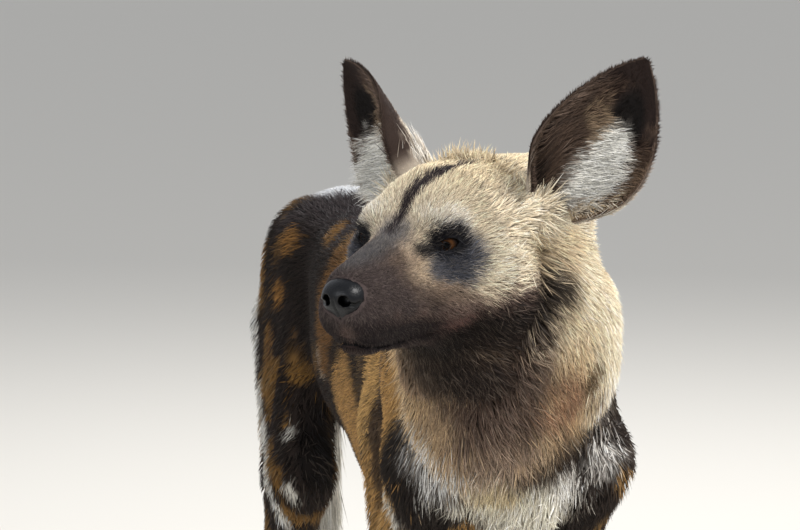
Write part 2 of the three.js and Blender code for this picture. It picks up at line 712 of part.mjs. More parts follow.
// The whole animal
const root = new THREE.Group();
const addMesh = (name, solid, finish) => root.add(meshOf(name, solid, finish));
const boxesOut = (solid) => legBoxes.reduce((rest, box) => rest.subtract(box.solid(halfGap)), solid);
addMesh("torso", boxesOut(torsoSolid()), finishes.trunk);
addMesh("neck", neckSolid(), finishes.neck);
root.add(headMesh());
addMesh("nose", sides.reduce((nose, side) => nose.subtract(nostril(side)), noseSolid()), finishes.nose);
const grownHead = headSolid(gap);
for (const side of sides) {
  addMesh(`ear_${side.name}`, earSolid(side).subtract(grownHead), finishes.ear);
  addMesh(`eye_${side.name}`, eyeSphere(side, eyeRadius, 14), finishes.eye);
}
legs.forEach((leg, index) => root.add(...legMeshes(leg, index)));
addMesh("tail", tailSolid().subtract(torsoSolid(gap)), finishes.brush);

// Centres the animal over the origin.
const extent = new THREE.Box3().setFromObject(root);
root.position.set(-(extent.min.x + extent.max.x) / 2, -(extent.min.y + extent.max.y) / 2, 0);

export default root;
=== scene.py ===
# A life-size African wild dog: skin, eyes, nose and a coat of modelled tufts.
# Shapes are worked out in millimetres in the animal's own frame, then centred and turned to metres.
import math

import bpy
import numpy as np
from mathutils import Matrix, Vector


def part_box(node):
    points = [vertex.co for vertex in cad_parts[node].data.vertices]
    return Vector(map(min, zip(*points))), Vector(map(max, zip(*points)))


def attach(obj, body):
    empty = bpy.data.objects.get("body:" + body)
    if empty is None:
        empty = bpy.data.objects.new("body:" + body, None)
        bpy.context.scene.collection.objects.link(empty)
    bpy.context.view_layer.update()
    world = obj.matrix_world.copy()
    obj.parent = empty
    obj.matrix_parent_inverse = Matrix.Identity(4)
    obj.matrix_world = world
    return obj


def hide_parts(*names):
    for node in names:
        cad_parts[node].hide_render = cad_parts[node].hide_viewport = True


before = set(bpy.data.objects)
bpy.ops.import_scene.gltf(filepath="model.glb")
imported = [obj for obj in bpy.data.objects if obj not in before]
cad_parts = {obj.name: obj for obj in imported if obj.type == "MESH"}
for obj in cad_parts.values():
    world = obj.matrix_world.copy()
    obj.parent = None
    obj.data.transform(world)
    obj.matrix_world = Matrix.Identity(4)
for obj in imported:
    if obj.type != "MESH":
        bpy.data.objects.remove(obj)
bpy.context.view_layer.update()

import openvdb
from mathutils import Matrix, Vector

chance = np.random.default_rng(4173)


# Frames. The animal faces -Y, with +X on its left. The head is turned to its right, and has a frame
# of its own with its origin between the eyes.
HEAD_TURN = math.radians(-50)
HEAD_AT = np.array([-128.0, -446.0, 735.0])
TURNED = np.array([
    [math.cos(HEAD_TURN), -math.sin(HEAD_TURN), 0.0],
    [math.sin(HEAD_TURN), math.cos(HEAD_TURN), 0.0],
    [0.0, 0.0, 1.0],
])
EYE = np.array([37.0, 1.0, 0.0])
EYE_RADIUS = 12.5


def from_head(places):
    return np.asarray(places, float) @ TURNED.T + HEAD_AT


def into_head(places):
    return (np.asarray(places, float) - HEAD_AT) @ TURNED


eye_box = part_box("eye_left")
eye_centre = np.array([(eye_box[0][i] + eye_box[1][i]) / 2 for i in range(3)])
CENTRE = eye_centre * 1000 - from_head(EYE)
CENTRE[2] = 0.0


def metres(places):
    return (np.asarray(places, float) + CENTRE) / 1000


def unit(vectors):
    return vectors / np.maximum(np.linalg.norm(vectors, axis=-1, keepdims=True), 1e-9)


def ease(value, start, end):
    """Rises smoothly from 0 at start to 1 at end."""
    share = np.clip((value - start) / (end - start), 0, 1)
    return share * share * (3 - 2 * share)


def xyz(places):
    return places[..., 0], places[..., 1], places[..., 2]


def one_sided(places):
    """The same places with the right half folded onto the left, for shapes that are mirrored."""
    folded = np.array(places, float)
    folded[..., 0] = np.abs(folded[..., 0])
    return folded


# Masses of flesh: each gives about how far a place lies outside it, and how softly it joins the others
def rod(a, b, start, end, wide=1.0, blend=26.0, end_wide=None):
    """A tapered rod from a to b with two end radii, flattened or widened across."""
    a, b = np.array(a, float), np.array(b, float)
    axis = b - a
    end_wide = wide if end_wide is None else end_wide

    def outside(p):
        rel = p - a
        share = np.clip(rel @ axis / (axis @ axis), 0, 1)
        x, y, z = xyz(rel - share[..., None] * axis)
        across = x / (wide + (end_wide - wide) * share)
        return np.sqrt(across ** 2 + y ** 2 + z ** 2) - (start + (end - start) * share)

    return outside, blend


def ball(centre, radii, blend=26.0):
    centre, radii = np.array(centre, float), np.array(radii, float)

    def outside(p):
        rel = (p - centre) / radii
        scaled = np.linalg.norm(rel, axis=-1)
        steep = np.maximum(np.linalg.norm(rel / radii, axis=-1), 1e-6)
        return scaled * (scaled - 1) / steep

    return outside, blend


def soft_join(a, b, blend):
    overlap = np.maximum(0, blend - np.abs(a - b)) / blend
    return np.minimum(a, b) - overlap ** 2 * blend / 4


def flesh(masses):
    def outside(p):
        nearest = np.full(p.shape[:-1], 1e4)
        for mass, blend in masses:
            nearest = soft_join(nearest, mass(p), blend)
        return nearest

    return outside


head_bulk = flesh([
    ball([0, 52, 8], [56, 64, 55], 20),  # braincase
    rod([0, 92, 18], [0, 172, 2], 40, 50, 1.1, 26),  # nape
    ball([0, 18, 14], [40, 40, 34], 20),  # forehead
    ball([29, 2, 15], [18, 20, 13], 16),  # brow
    ball([50, 36, -20], [25, 44, 30], 26),  # cheekbone
    ball([46, 58, -46], [28, 40, 34], 26),  # jaw muscle
    rod([0, -4, -18], [0, -80, -37], 34, 24, 0.98, 22),  # muzzle
    rod([0, 4, 2], [0, -84, -24], 17, 13, 1.1, 12),  # bridge of the nose
    rod([22, -14, -47], [13, -80, -56], 20, 16, 1, 30),  # upper lip
    ball([37, 8, -46], [16, 28, 22], 26),  # corner of the mouth
    rod([17, 40, -66], [6, -70, -74], 22, 11, 1, 14),  # lower jaw
    ball([0, -76, -76], [16, 14, 9.5], 10),  # chin
    rod([44, 70, 14], [74, 98, 24], 27, 15, 1, 18),  # foot of the ear
    rod([0, 44, -66], [0, 84, -96], 36, 50, 1.05, 26),  # throat
])
FURROW_DEEP, FURROW_HALF = 7.0, 18.0


def head_flesh(h):
    """The head with the furrow that runs up the middle of the forehead."""
    x, y, z = xyz(h)
    furrow = FURROW_DEEP * np.exp(-(x / FURROW_HALF) ** 2)
    return head_bulk(h) + furrow * ease(y, -36, -8) * ease(y, 92, 60) * ease(z, 5, 25)


trunk_flesh = flesh([
    ball([0, -150, 550], [84, 200, 145], 30),  # rib cage
    ball([0, 30, 573], [79, 190, 112], 40),  # belly
    rod([0, -60, 640], [0, 210, 640], 52, 54, 1.1, 40),  # back
    ball([0, 250, 613], [66, 98, 84], 40),  # rump
    rod([0, -310, 512], [0, -190, 452], 58, 54, 0.9, 40),  # breast
    rod([0, -190, 452], [0, -10, 478], 54, 48, 0.9, 40),  # brisket
    rod([0, -255, 632], [0, -130, 645], 56, 52, 1.05, 40),  # withers
    rod([52, -225, 640], [72, -300, 520], 34, 42, 0.75, 30),  # shoulder blade
])

# Legs. A step is how far back a paw stands from its place in a square stance, fore and hind.
SIDES = {"left": 1, "right": -1}
STEPS = {"left": (-14, 34), "right": (6, 0)}
TOES = 4
TOE_RADII = [9.2, 19, 13.5]
TOE_APART = 14.5


def joints(sign, fore_step, hind_step):
    """Shoulder, elbow, wrist and foot of a foreleg, and hip, knee, hock and foot of a hind leg."""
    fore = [[sign * 72, -300, 512], [sign * 74, -212, 402], [sign * 64, -222 + 0.6 * fore_step, 180],
            [sign * 62, -240 + fore_step, 60]]
    hind = [[sign * 46, 245, 616], [sign * 67, 166 + 0.2 * hind_step, 436], [sign * 58, 312 + hind_step, 215],
            [sign * 58, 284 + hind_step, 60]]
    return np.array(fore, float), np.array(hind, float)


def foot_masses(foot):
    """The pad and the toes of a paw, with the middle toes further forward."""
    masses = [ball([foot[0], foot[1] - 2, 21], [24, 28, 24], 8)]
    for i in range(TOES):
        off = i - (TOES - 1) / 2
        masses.append(ball([foot[0] + off * TOE_APART, foot[1] - 31 + abs(off) * 7, 11.5], TOE_RADII, 3))
    return masses


def fore_flesh(sign, at):
    shoulder, elbow, wrist, foot = at
    return flesh([
        rod(shoulder, elbow, 44, 36, 0.72, 26),
        rod([sign * 66, -180, 530], elbow + [0, 18, 12], 46, 28, 0.7, 26),
        ball(elbow + [-sign * 4, 30, 8], [16, 18, 22], 18),
        rod(elbow, wrist, 33, 18, 0.8, 20),
        ball(wrist, [19, 20, 25], 14),
        rod(wrist, foot, 16.5, 18, 0.95, 12),
        rod(foot, foot + [0, -16, -32], 17, 24, 1.05, 14),
    ] + foot_masses(foot))


def hind_flesh(sign, at):
    hip, knee, hock, foot = at
    return flesh([
        rod(hip, knee, 66, 46, 0.5, 30, 0.68),
        rod([sign * 50, 292, 560], knee + [0, 56, -10], 44, 30, 0.76, 34, 0.8),
        ball(knee + [0, -18, 4], [22, 20, 30], 20),
        rod(knee, hock, 40, 17, 0.7, 22, 0.8),
        rod(knee + [0, 46, -16], hock + [0, 20, 24], 31, 11, 0.66, 24),
        ball(hock, [16, 21, 24], 12),
        rod(hock + [0, 8, 2], hock + [0, 24, 26], 13, 10, 1, 10),
        rod(hock, foot, 17, 15, 0.88, 12),
        rod(foot, foot + [0, -16, -32], 15, 23, 1, 14),
    ] + foot_masses(foot))


legs = {}
for side, sign in SIDES.items():
    fore, hind = joints(sign, *STEPS[side])
    legs[side] = {"fore": (fore, fore_flesh(sign, fore)), "hind": (hind, hind_flesh(sign, hind))}

# The neck's curve, from the chest to behind the jaw
NECK_START = np.array([0.0, -300.0, 628.0])
NECK_START_WAY = unit(np.array([0.0, -44.0, 38.0]))
NECK_END = from_head([0, 86, -34])
NECK_END_WAY = unit(TURNED @ np.array([0.0, -34.0, 20.0]))
neck_handles = [NECK_START, NECK_START + 55 * NECK_START_WAY, NECK_END - 55 * NECK_END_WAY, NECK_END]
NECK_SUNK = 59.5
NECK_RADII = [91, 86, 75, 69, 67, 63]


def neck_curve(t):
    t = np.asarray(t, float)[..., None]
    a, b, c, d = neck_handles
    return (1 - t) ** 3 * a + 3 * (1 - t) ** 2 * t * b + 3 * (1 - t) * t ** 2 * c + t ** 3 * d


neck_places = [NECK_START - NECK_SUNK * NECK_START_WAY] + [neck_curve(t) for t in (0, 0.25, 0.5, 0.75, 1)]
neck_fold = rod([-74, -400, 672], [-36, -338, 566], 43, 57, 1, 34)
neck_flesh = flesh([
    rod(*ends, *radii, 0.98, 30)
    for ends, radii in zip(zip(neck_places, neck_places[1:]), zip(NECK_RADII, NECK_RADII[1:]))
] + [neck_fold])


def parts_at(p):
    """How far places lie outside each part. The ruff is the neck without its stretch inside the shoulders."""
    x, y, _ = xyz(p)
    limb = np.full(x.shape, 1e4)
    for side, sign in SIDES.items():
        for place, (_, field) in legs[side].items():
            mine = (x * sign > 0) & ((y < 0) == (place == "fore"))
            limb[mine] = field(p[mine])
    neck = neck_flesh(p)
    ruff = neck + 60 * ease(y, -325, -255)
    head = head_flesh(one_sided(into_head(p)))
    return {"head": head, "neck": neck, "ruff": ruff, "trunk": trunk_flesh(one_sided(p)), "leg": limb}


def coat_depth(p, parts):
    """How far the skin lies inside the outline of the coat."""
    back = into_head(p)[..., 1]
    head = 1.2 + 4.3 * ease(back, -70, 40)
    leg = 1.5 + 3.5 * ease(p[..., 2], 70, 420)
    trunk = 5
    is_head = ease(parts["neck"] - parts["head"], -25, 10) * ease(parts["trunk"] - parts["head"], -10, 30)
    is_leg = ease(parts["trunk"] - parts["leg"], -10, 25) * (1 - is_head)
    return trunk * (1 - is_head - is_leg) + head * is_head + leg * is_leg


# The line where the lips meet: how far ahead of the eyes, and how high
LIP_AHEAD = [-2, 34, 62, 86, 97, 104]
LIP_HEIGHT = [-66, -76, -80, -77, -70, -65]
NO_MOUTH = 99.0


def lip_line(h):
    """How far places on the front of the head lie above or below the lips' line."""
    height = np.interp(-h[..., 1], LIP_AHEAD, LIP_HEIGHT)
    return np.where(h[..., 1] < 0, np.abs(h[..., 2] - height), NO_MOUTH)


# The left eye's opening: its directions, half its width, and how far it opens over and under its middle
LID_OUTWARD = unit(np.array([0.50, -0.86, 0.03]))
LID_ACROSS = unit(np.array([0.84, 0.48, 0.26]))
LID_ACROSS = unit(LID_ACROSS - (LID_ACROSS @ LID_OUTWARD) * LID_OUTWARD)
LID_UPWARD = np.cross(LID_OUTWARD, LID_ACROSS)
LID_HALF, LID_OVER, LID_UNDER = 10.5, 4.2, 4.2


def eye_slit(side, grow=0.0):
    """How far places, folded onto the left, lie outside the almond opening of the eye."""
    rel = side - EYE
    u, w, v = rel @ LID_ACROSS, rel @ LID_OUTWARD, rel @ LID_UPWARD
    arch = 1 - np.clip((u / LID_HALF) ** 2, 0, 1.5)
    gap = np.maximum(v - LID_OVER * arch, -v - LID_UNDER * arch) - grow
    return np.maximum(gap, 4 - w)


nose_flesh = flesh([
    ball([0, -94, -36], [18, 18, 15.5], 6),  # pad
    ball([9, -92, -38], [10.5, 16, 13], 6),  # wing
    ball([0, -88, -50], [9, 14, 12], 8),  # foot of the pad
])
LID_THICK, EYE_GAP = 2.2, 0.1
LIP_HALF, LIP_DEEP = 1.3, 3.2
NOSE_SUNK = 1.5
SOLE_RISE = 0.6


def skin_field(p):
    """How far places lie outside the skin, with lids round the eyes and the lips and nose let in."""
    parts = parts_at(p)
    skin = soft_join(parts["head"], parts["neck"], 24)
    skin = soft_join(soft_join(skin, parts["trunk"], 40), parts["leg"], 34) + coat_depth(p, parts)
    side = one_sided(into_head(p))
    to_eye = np.linalg.norm(side - EYE, axis=-1)
    skin = soft_join(skin, to_eye - EYE_RADIUS - LID_THICK, 5)
    skin = np.maximum(skin, EYE_RADIUS + EYE_GAP - to_eye)
    skin = np.maximum(skin, -eye_slit(side))
    skin = np.maximum(skin, np.minimum(LIP_HALF - lip_line(side), skin + LIP_DEEP))
    skin = np.maximum(skin, -NOSE_SUNK - nose_flesh(side))
    return np.maximum(skin, SOLE_RISE - p[..., 2])


def facing_out(points, faces):
    """Turns a closed shell's triangles so that they face outwards."""
    corners = points[faces] - points.mean(0)
    volume = np.einsum("ij,ij->i", corners[:, 0], np.cross(corners[:, 1], corners[:, 2])).sum()
    return faces if volume > 0 else faces[:, ::-1]


ROWS_AT_ONCE = 12


def surface(field, low, high, step, place=lambda p: p):
    """Meshes a field over a box. place() takes the box's frame to the animal's."""
    axes = [np.arange(a, b + step, step) for a, b in zip(low, high)]
    grid_points = np.stack(np.meshgrid(*axes, indexing="ij"), -1)
    values = np.empty(grid_points.shape[:3], np.float32)
    for i in range(0, len(axes[0]), ROWS_AT_ONCE):
        rows = slice(i, i + ROWS_AT_ONCE)
        values[rows] = field(place(grid_points[rows]))
    band = 3 * step
    grid = openvdb.FloatGrid(band)
    grid.copyFromArray(np.clip(values, -band, band).astype(np.float32))
    points, tris, quads = grid.convertToPolygons(isovalue=0.0, adaptivity=0.0)
    points = place(np.array(points, float) * step + np.array(low, float))
    quads = np.array(quads).reshape(-1, 4)
    faces = [quads[:, [0, 1, 2]], quads[:, [0, 2, 3]], np.array(tris).reshape(-1, 3)]
    return points, facing_out(points, np.concatenate(faces).astype(np.int64))


def joined(meshes):
    points, faces, start = [], [], 0
    for p, f in meshes:
        points.append(p)
        faces.append(f + start)
        start += len(p)
    return np.concatenate(points), np.concatenate(faces)


def smooth_normals(points, faces):
    corners = points[faces]
    facing = np.cross(corners[:, 1] - corners[:, 0], corners[:, 2] - corners[:, 0])
    normals = np.zeros_like(points)
    for i in range(3):
        for axis in range(3):
            normals[:, axis] += np.bincount(faces[:, i], facing[:, axis], len(points))
    return unit(normals)


# Skin. Head, body and feet are meshed at steps of their own, and overlap a little where they meet.
NECK_CUT, FOOT_TOP = 84.0, 84.0
HEAD_STEP, BODY_STEP, FOOT_STEP = 2.0, 5.0, 2.4


def head_skin(p):
    return np.maximum(skin_field(p), into_head(p)[..., 1] - NECK_CUT - 5)


def body_skin(p):
    h = into_head(p)
    beyond = np.minimum(NECK_CUT - h[..., 1], 240 - np.linalg.norm(h, axis=-1))
    return np.maximum(np.maximum(skin_field(p), beyond), FOOT_TOP - p[..., 2])


def foot_skin(p):
    return np.maximum(skin_field(p), p[..., 2] - FOOT_TOP - 4)


skin_parts = [
    surface(head_skin, [-112, -112, -128], [112, NECK_CUT + 8, 82], HEAD_STEP, from_head),
    surface(body_skin, [-180, -500, FOOT_TOP - 9], [180, 372, 830], BODY_STEP),
]
for leg in legs.values():
    for at, _ in leg.values():
        x, y, _ = at[3]
        skin_parts.append(surface(foot_skin, [x - 36, y - 60, -4], [x + 36, y + 42, 93], FOOT_STEP))
skin_points, skin_faces = joined(skin_parts)
skin_normals = smooth_normals(skin_points, skin_faces)


# Colours
def shade(text):
    """An sRGB hex value as three shares."""
    return np.array([int(text[i:i + 2], 16) / 255 for i in (0, 2, 4)])


def linear(colour):
    colour = np.clip(colour, 0, 1)
    return np.where(colour <= 0.04045, colour / 12.92, ((colour + 0.055) / 1.055) ** 2.4)


def noise(p, size, seed):
    """Smooth value noise from -1 to 1, with lumps of about the given size in millimetres."""
    q = np.asarray(p, float) / size + seed * 7.31
    cell = np.floor(q).astype(np.int64)
    part = q - cell
    x, y, z = xyz(cell)
    u, v, w = xyz(part * part * (3 - 2 * part))

    def corner(i, j, k):
        n = (x + i) * 374761393 + (y + j) * 668265263 + (z + k) * 2246822519
        n = (n + seed * 97231) & 0x7FFFFFFF
        n = ((n ^ (n >> 13)) * 1274126177) & 0x7FFFFFFF
        return ((n ^ (n >> 16)) & 0xFFFF) / 32767.5 - 1

    total = 0
    for i, j, k in np.ndindex(2, 2, 2):
        weight = (u if i else 1 - u) * (v if j else 1 - v) * (w if k else 1 - w)
        total = total + weight * corner(i, j, k)
    return total


def paint(base, tint, amount):
    return base + (shade(tint) - base) * np.clip(amount, 0, 1)[..., None]


def layered(ground, shape, layers):
    """Colours of many places: a ground tint with layers over it, each a tint and how much of it shows."""
    colour = np.broadcast_to(shade(ground), shape)
    for tint, amount in layers:
        colour = paint(colour, tint, amount)
    return colour


def patch(p, centre, radii, ragged, soft=0.22):
    """A ragged-edged patch: 1 inside an ellipsoid, 0 outside."""
    reach = np.linalg.norm((p - np.array(centre, float)) / np.array(radii, float), axis=-1)
    return 1 - ease(reach + ragged, 1 - soft, 1 + soft)


def patches(p, spots, ragged, soft=0.22):
    """The layers for a list of patches."""
    return [(tint, patch(p, centre, radii, ragged, soft)) for centre, radii, tint in spots]


# Patches of the coat, each with its centre, radii and tint. First the trunk and thigh.
TRUNK_PATCHES = [
    ([-20, 150, 690], [75, 110, 60], "3b3434"),
    ([-60, 150, 610], [60, 74, 70], "241d1a"),
    ([-66, 40, 610], [60, 40, 60], "6b4c2b"),
    ([-50, 110, 672], [20, 24, 12], "7d5d36"),
    ([-84, 168, 566], [12, 13, 17], "8b6334"),
    ([-80, 206, 600], [14, 12, 15], "8b6334"),
    ([-86, 150, 520], [10, 13, 15], "7d582e"),
    ([-62, 205, 650], [17, 15, 13], "7d5a31"),
    ([-84, 216, 548], [9, 12, 20], "6f4f2b"),
    ([-8, 246, 704], [40, 44, 26], "e6e8ea"),
    ([-82, 292, 566], [24, 12, 34], "e2e0da"),
    ([-84, 286, 520], [24, 15, 30], "dddad3"),
    ([-90, 258, 484], [24, 18, 24], "dad7cf"),
    ([-94, 222, 460], [24, 19, 20], "dad7cf"),
    ([-97, 190, 436], [24, 15, 24], "dad7cf"),
    ([-96, 172, 396], [24, 11, 34], "dad7cf"),
    ([-90, 148, 474], [20, 7, 8], "c9c5bb"),
    ([-88, 134, 418], [20, 6, 12], "c9c5bb"),
    ([-50, 124, 470], [30, 24, 60], "16110f"),
    ([-88, -150, 575], [60, 62, 70], "b8935c"),
    ([-80, -40, 520], [60, 60, 60], "a07c4c"),
    ([-98, -208, 530], [26, 16, 60], "4a3a2b"),
    ([-84, -106, 560], [30, 10, 52], "43362a"),
]
SHOULDER_PATCHES = [
    ([-106, -326, 512], [30, 42, 50], "1f1915"),
    ([-88, -330, 466], [34, 42, 50], "211a16"),
    ([-112, -322, 500], [9, 9, 10], "a87f4a"),
    ([-106, -334, 470], [10, 10, 9], "a87f4a"),
    ([-104, -340, 520], [7, 8, 10], "d2cfc7"),
    ([-96, -346, 486], [9, 9, 14], "d2cfc7"),
    ([94, -334, 500], [34, 46, 56], "2a211c"),
    ([98, -340, 496], [13, 16, 17], "b08a58"),
    ([88, -356, 470], [13, 14, 10], "9c774a"),
    ([106, -326, 530], [9, 14, 15], "8f867a"),
    ([-10, -372, 470], [74, 44, 44], "e4ddcb"),
    ([-30, -372, 500], [24, 30, 12], "c8b794"),
    ([-112, -344, 566], [22, 34, 30], "dfdeda"),
    ([-98, -366, 536], [26, 34, 27], "e6e5e1"),
    ([-78, -378, 508], [28, 34, 26], "e6e5e1"),
    ([90, -348, 566], [24, 32, 34], "ebe8e2"),
    ([74, -362, 534], [27, 32, 31], "ebe8e2"),
    ([48, -370, 504], [30, 32, 27], "e8e4dc"),
]
NECK_PATCHES = [
    ([-46, -430, 560], [78, 66, 84], "5b4a40"),
    ([-98, -400, 600], [24, 50, 46], "86705a"),
    ([-30, -420, 528], [60, 60, 26], "8d7a6a"),
    ([-30, -424, 508], [34, 60, 14], "b8aa98"),
    ([26, -404, 570], [24, 44, 40], "93725a"),
    # Under the jaw: dark throat hair, deepened with painted shade where the jaw shades the throat
    ([-50, -448, 676], [70, 66, 30], "15100e"),
    ([-84, -450, 654], [36, 50, 15], "2a201b"),
    ([-26, -446, 650], [36, 50, 15], "2f251f"),
    ([66, -360, 572], [13, 26, 14], "3f3025"),
    ([48, -376, 600], [8, 26, 16], "57452f"),
]


def body_colour(p):
    x, y, z = xyz(p)
    ragged = 0.20 * noise(p, 22, 3) + 0.12 * noise(p, 9, 4)
    thigh = ease(y, 40, 110) * ease(z, 300, 380) * ease(-x, 0, 30)
    broad = noise(p, 105, 5) + 0.55 * noise(p, 46, 6) - 2.2 * thigh
    pale = noise(p, 82, 7) + 0.5 * noise(p, 34, 8)
    low = ease(z, 430, 180)
    belly = ease(-np.abs(x) - 0.4 * z, -225, -195) * (y > -200)
    return layered("241c18", p.shape, [
        ("a5804d", ease(broad + 0.25 * ragged, -0.02, 0.16)),  # tan blotches
        ("3a2c22", 0.7 * ease(noise(p, 26, 9), 0.35, 0.55) * ease(broad, 0.0, 0.3)),  # dark hairs in it
        ("84602f", 0.85 * thigh * ease(noise(p, 24, 22) + 0.3 * ragged, 0.16, 0.34)),  # thigh spots
        ("cfcabf", (1 - thigh) * ease(pale + 0.42 * low + 0.3 * ragged, 0.50, 0.64)),  # white blotches
        ("c9c2b4", 0.85 * ease(z + 30 * noise(p, 30, 10), 60, 24)),  # paws
        ("6d5a48", 0.35 * belly),
    ] + patches(p, TRUNK_PATCHES + SHOULDER_PATCHES, ragged))


def neck_colour(p):
    ragged = 0.22 * noise(p, 24, 11) + 0.12 * noise(p, 10, 12)
    x, y, z = xyz(p)
    pale_side = x - 0.35 * (y + 400) + 30 * noise(p, 40, 13)
    return layered("bfa581", p.shape, [
        ("f0e0c4", ease(pale_side, 0, 46)),
        ("dcc6a4", ease(z, 690, 760)),  # nape
    ] + patches(p, NECK_PATCHES, ragged, 0.3) + patches(p, SHOULDER_PATCHES, ragged))


def head_colour(p):
    h = into_head(p)
    side = one_sided(h)
    x, y, z = xyz(side)
    ragged = 0.18 * noise(p, 13, 14) + 0.14 * noise(p, 5, 15)
    reach = y + 0.62 * (z + 22) + 11 * noise(p, 12, 16) + 8 * noise(p, 4, 19)
    below = -z - 50 + 0.16 * (y - 20) + 8 * noise(p, 13, 17) + 4 * noise(p, 5, 21)
    stripe_half = 3.0 + 4.8 * ease(y, -16, 24) - 3.8 * ease(y, 46, 78)
    stripe_run = ease(y, -36, -26) * ease(y, 92, 74) * ease(z, -14, 0)
    off_stripe = np.abs(h[..., 0] - 4 * ease(y, 30, 80)) + 2.2 * noise(p, 6, 18)
    return layered("d8c8ae", p.shape, [
        ("efe0c6", ease(x + 0.4 * y, 60, 95) * ease(z, -50, -15)),  # side of the face
        ("dcc8a6", ease(z, 34, 62)),  # crown
        ("e9e0d2", 0.7 * patch(side, [40, 4, 22], [26, 20, 9], ragged, 0.5)),  # pale brow
        # muzzle, dark in front, and paler and tan towards the eye
        ("ab9580", ease(reach, 0, -22)),
        ("6b5a4e", ease(reach, -14, -38)),
        ("453b39", ease(reach, -30, -62)),
        ("2a2221", ease(-z + 0.25 * y + 8 * noise(p, 6, 20), 34, 54) * ease(reach, -2, -30)),
        ("4c4a4b", 0.9 * patch(side, [0, -58, 0], [14, 44, 20], ragged, 0.5)),  # bridge
        ("605d5e", 0.8 * patch(side, [0, -26, 8], [15, 18, 18], ragged, 0.6)),
        ("c6b196", 0.9 * patch(side, [29, -22, -22], [11, 20, 19], 1.6 * ragged, 0.6)),
        # lower cheek, lips and jaw
        ("6b5850", ease(below, -12, 2) * ease(y, 100, 70)),
        ("352824", ease(below, -2, 12) * ease(y, 100, 70)),
        ("211a1b", patch(side, [24, -56, -72], [26, 62, 17], ragged, 0.45)),
        ("7b5650", 0.75 * patch(side, [40, 8, -66], [14, 17, 9], ragged, 0.6)),  # bare mouth corner
        ("17110f", ease(below, 12, 26) * ease(y, -10, 20)),
        ("1b1411", patch(side, [52, 62, -80], [46, 40, 26], ragged, 0.4)),
        # grey round the eye, darker below it and black along the lids
        ("63646a", patch(side, [44, 2, -10], [27, 27, 25], ragged, 0.22)),
        ("45464d", patch(side, [44, 0, -12], [20, 20, 19], 1.4 * ragged, 0.35)),
        ("131216", patch(side, [42, -4, 4], [20, 18, 11], 0.8 * ragged, 0.25)),
        ("1a1819", 0.9 * patch(side, [25, -17, -5], [11, 13, 6.5], 0.7 * ragged, 0.35)),
        # stripe up the brow
        ("1f171a", stripe_run * (1 - ease(off_stripe, stripe_half, stripe_half + 2.6))),
    ])


def coat_colour(p, parts):
    """The markings of head, neck and body, passing into each other where the parts meet."""
    is_neck = ease(parts["head"] - parts["ruff"], -16, 12)
    front, rear = np.minimum(parts["head"], parts["ruff"]), np.minimum(parts["trunk"], parts["leg"])
    is_trunk = ease(front - rear, -12, 16)
    colour = head_colour(p)
    colour = colour + (neck_colour(p) - colour) * is_neck[..., None]
    return colour + (body_colour(p) - colour) * is_trunk[..., None]


skin_parts_at = parts_at(skin_points)
skin_side = one_sided(into_head(skin_points))
near_eye = np.linalg.norm(skin_side - EYE, axis=-1) < 22
lid_edge = near_eye * (1 - ease(eye_slit(skin_side, 1.5), -0.5, 1.2))
skin_colour = coat_colour(skin_points, skin_parts_at)
skin_colour = paint(skin_colour, "0d0b0c", 1 - ease(lip_line(skin_side), 1.6, 3.2))
skin_colour = paint(skin_colour, "09080a", lid_edge)


# Materials
def add_node(tree, kind, values=(), links=()):
    node = tree.nodes.new(kind)
    for key, value in dict(values).items():
        if isinstance(key, str) and hasattr(node, key):
            setattr(node, key, value)
        else:
            node.inputs[key].default_value = value
    for key, source in dict(links).items():
        tree.links.new(source, node.inputs[key])
    return node


def new_material(name, shader_values):
    material = bpy.data.materials.new(name)
    material.use_nodes = True
    tree = material.node_tree
    shader = tree.nodes["Principled BSDF"]
    for key, value in shader_values.items():
        shader.inputs[key].default_value = value
    return material, tree, shader


def hair_material(name, roughness, grain, bump=0.0):
    """Hair: the markings' colours, with fine streaks so that no two hairs match, and a dull shine."""
    material, tree, shader = new_material(name, {"Roughness": roughness, "Specular IOR Level": 0.16})
    colour = add_node(tree, "ShaderNodeAttribute", {"attribute_name": "coat"})
    place = add_node(tree, "ShaderNodeTexCoord")
    streaks = add_node(tree, "ShaderNodeTexNoise", {"Scale": grain, "Detail": 3.0, "Roughness": 0.6},
                       {"Vector": place.outputs["Object"]})
    light = add_node(tree, "ShaderNodeMapRange",
                     {"From Min": 0.3, "From Max": 0.7, "To Min": 0.82, "To Max": 1.14},
                     {"Value": streaks.outputs["Fac"]})
    mixed = add_node(tree, "ShaderNodeVectorMath", {"operation": "SCALE"},
                     {0: colour.outputs["Color"], "Scale": light.outputs["Result"]})
    tree.links.new(mixed.outputs["Vector"], shader.inputs["Base Color"])
    if bump:
        raised = add_node(tree, "ShaderNodeBump", {"Strength": bump, "Distance": 0.001},
                          {"Height": streaks.outputs["Fac"]})
        tree.links.new(raised.outputs["Normal"], shader.inputs["Normal"])
    return material


# Underfur lies close and matt on the skin, in millimetre streaks that show between the tufts
skin_material = hair_material("short underfur over skin", 0.85, 900.0, bump=0.5)
# Guard hair is smoother keratin, with a faint satin shine and longer streaks
fur_material = hair_material("dog guard hair", 0.62, 420.0)


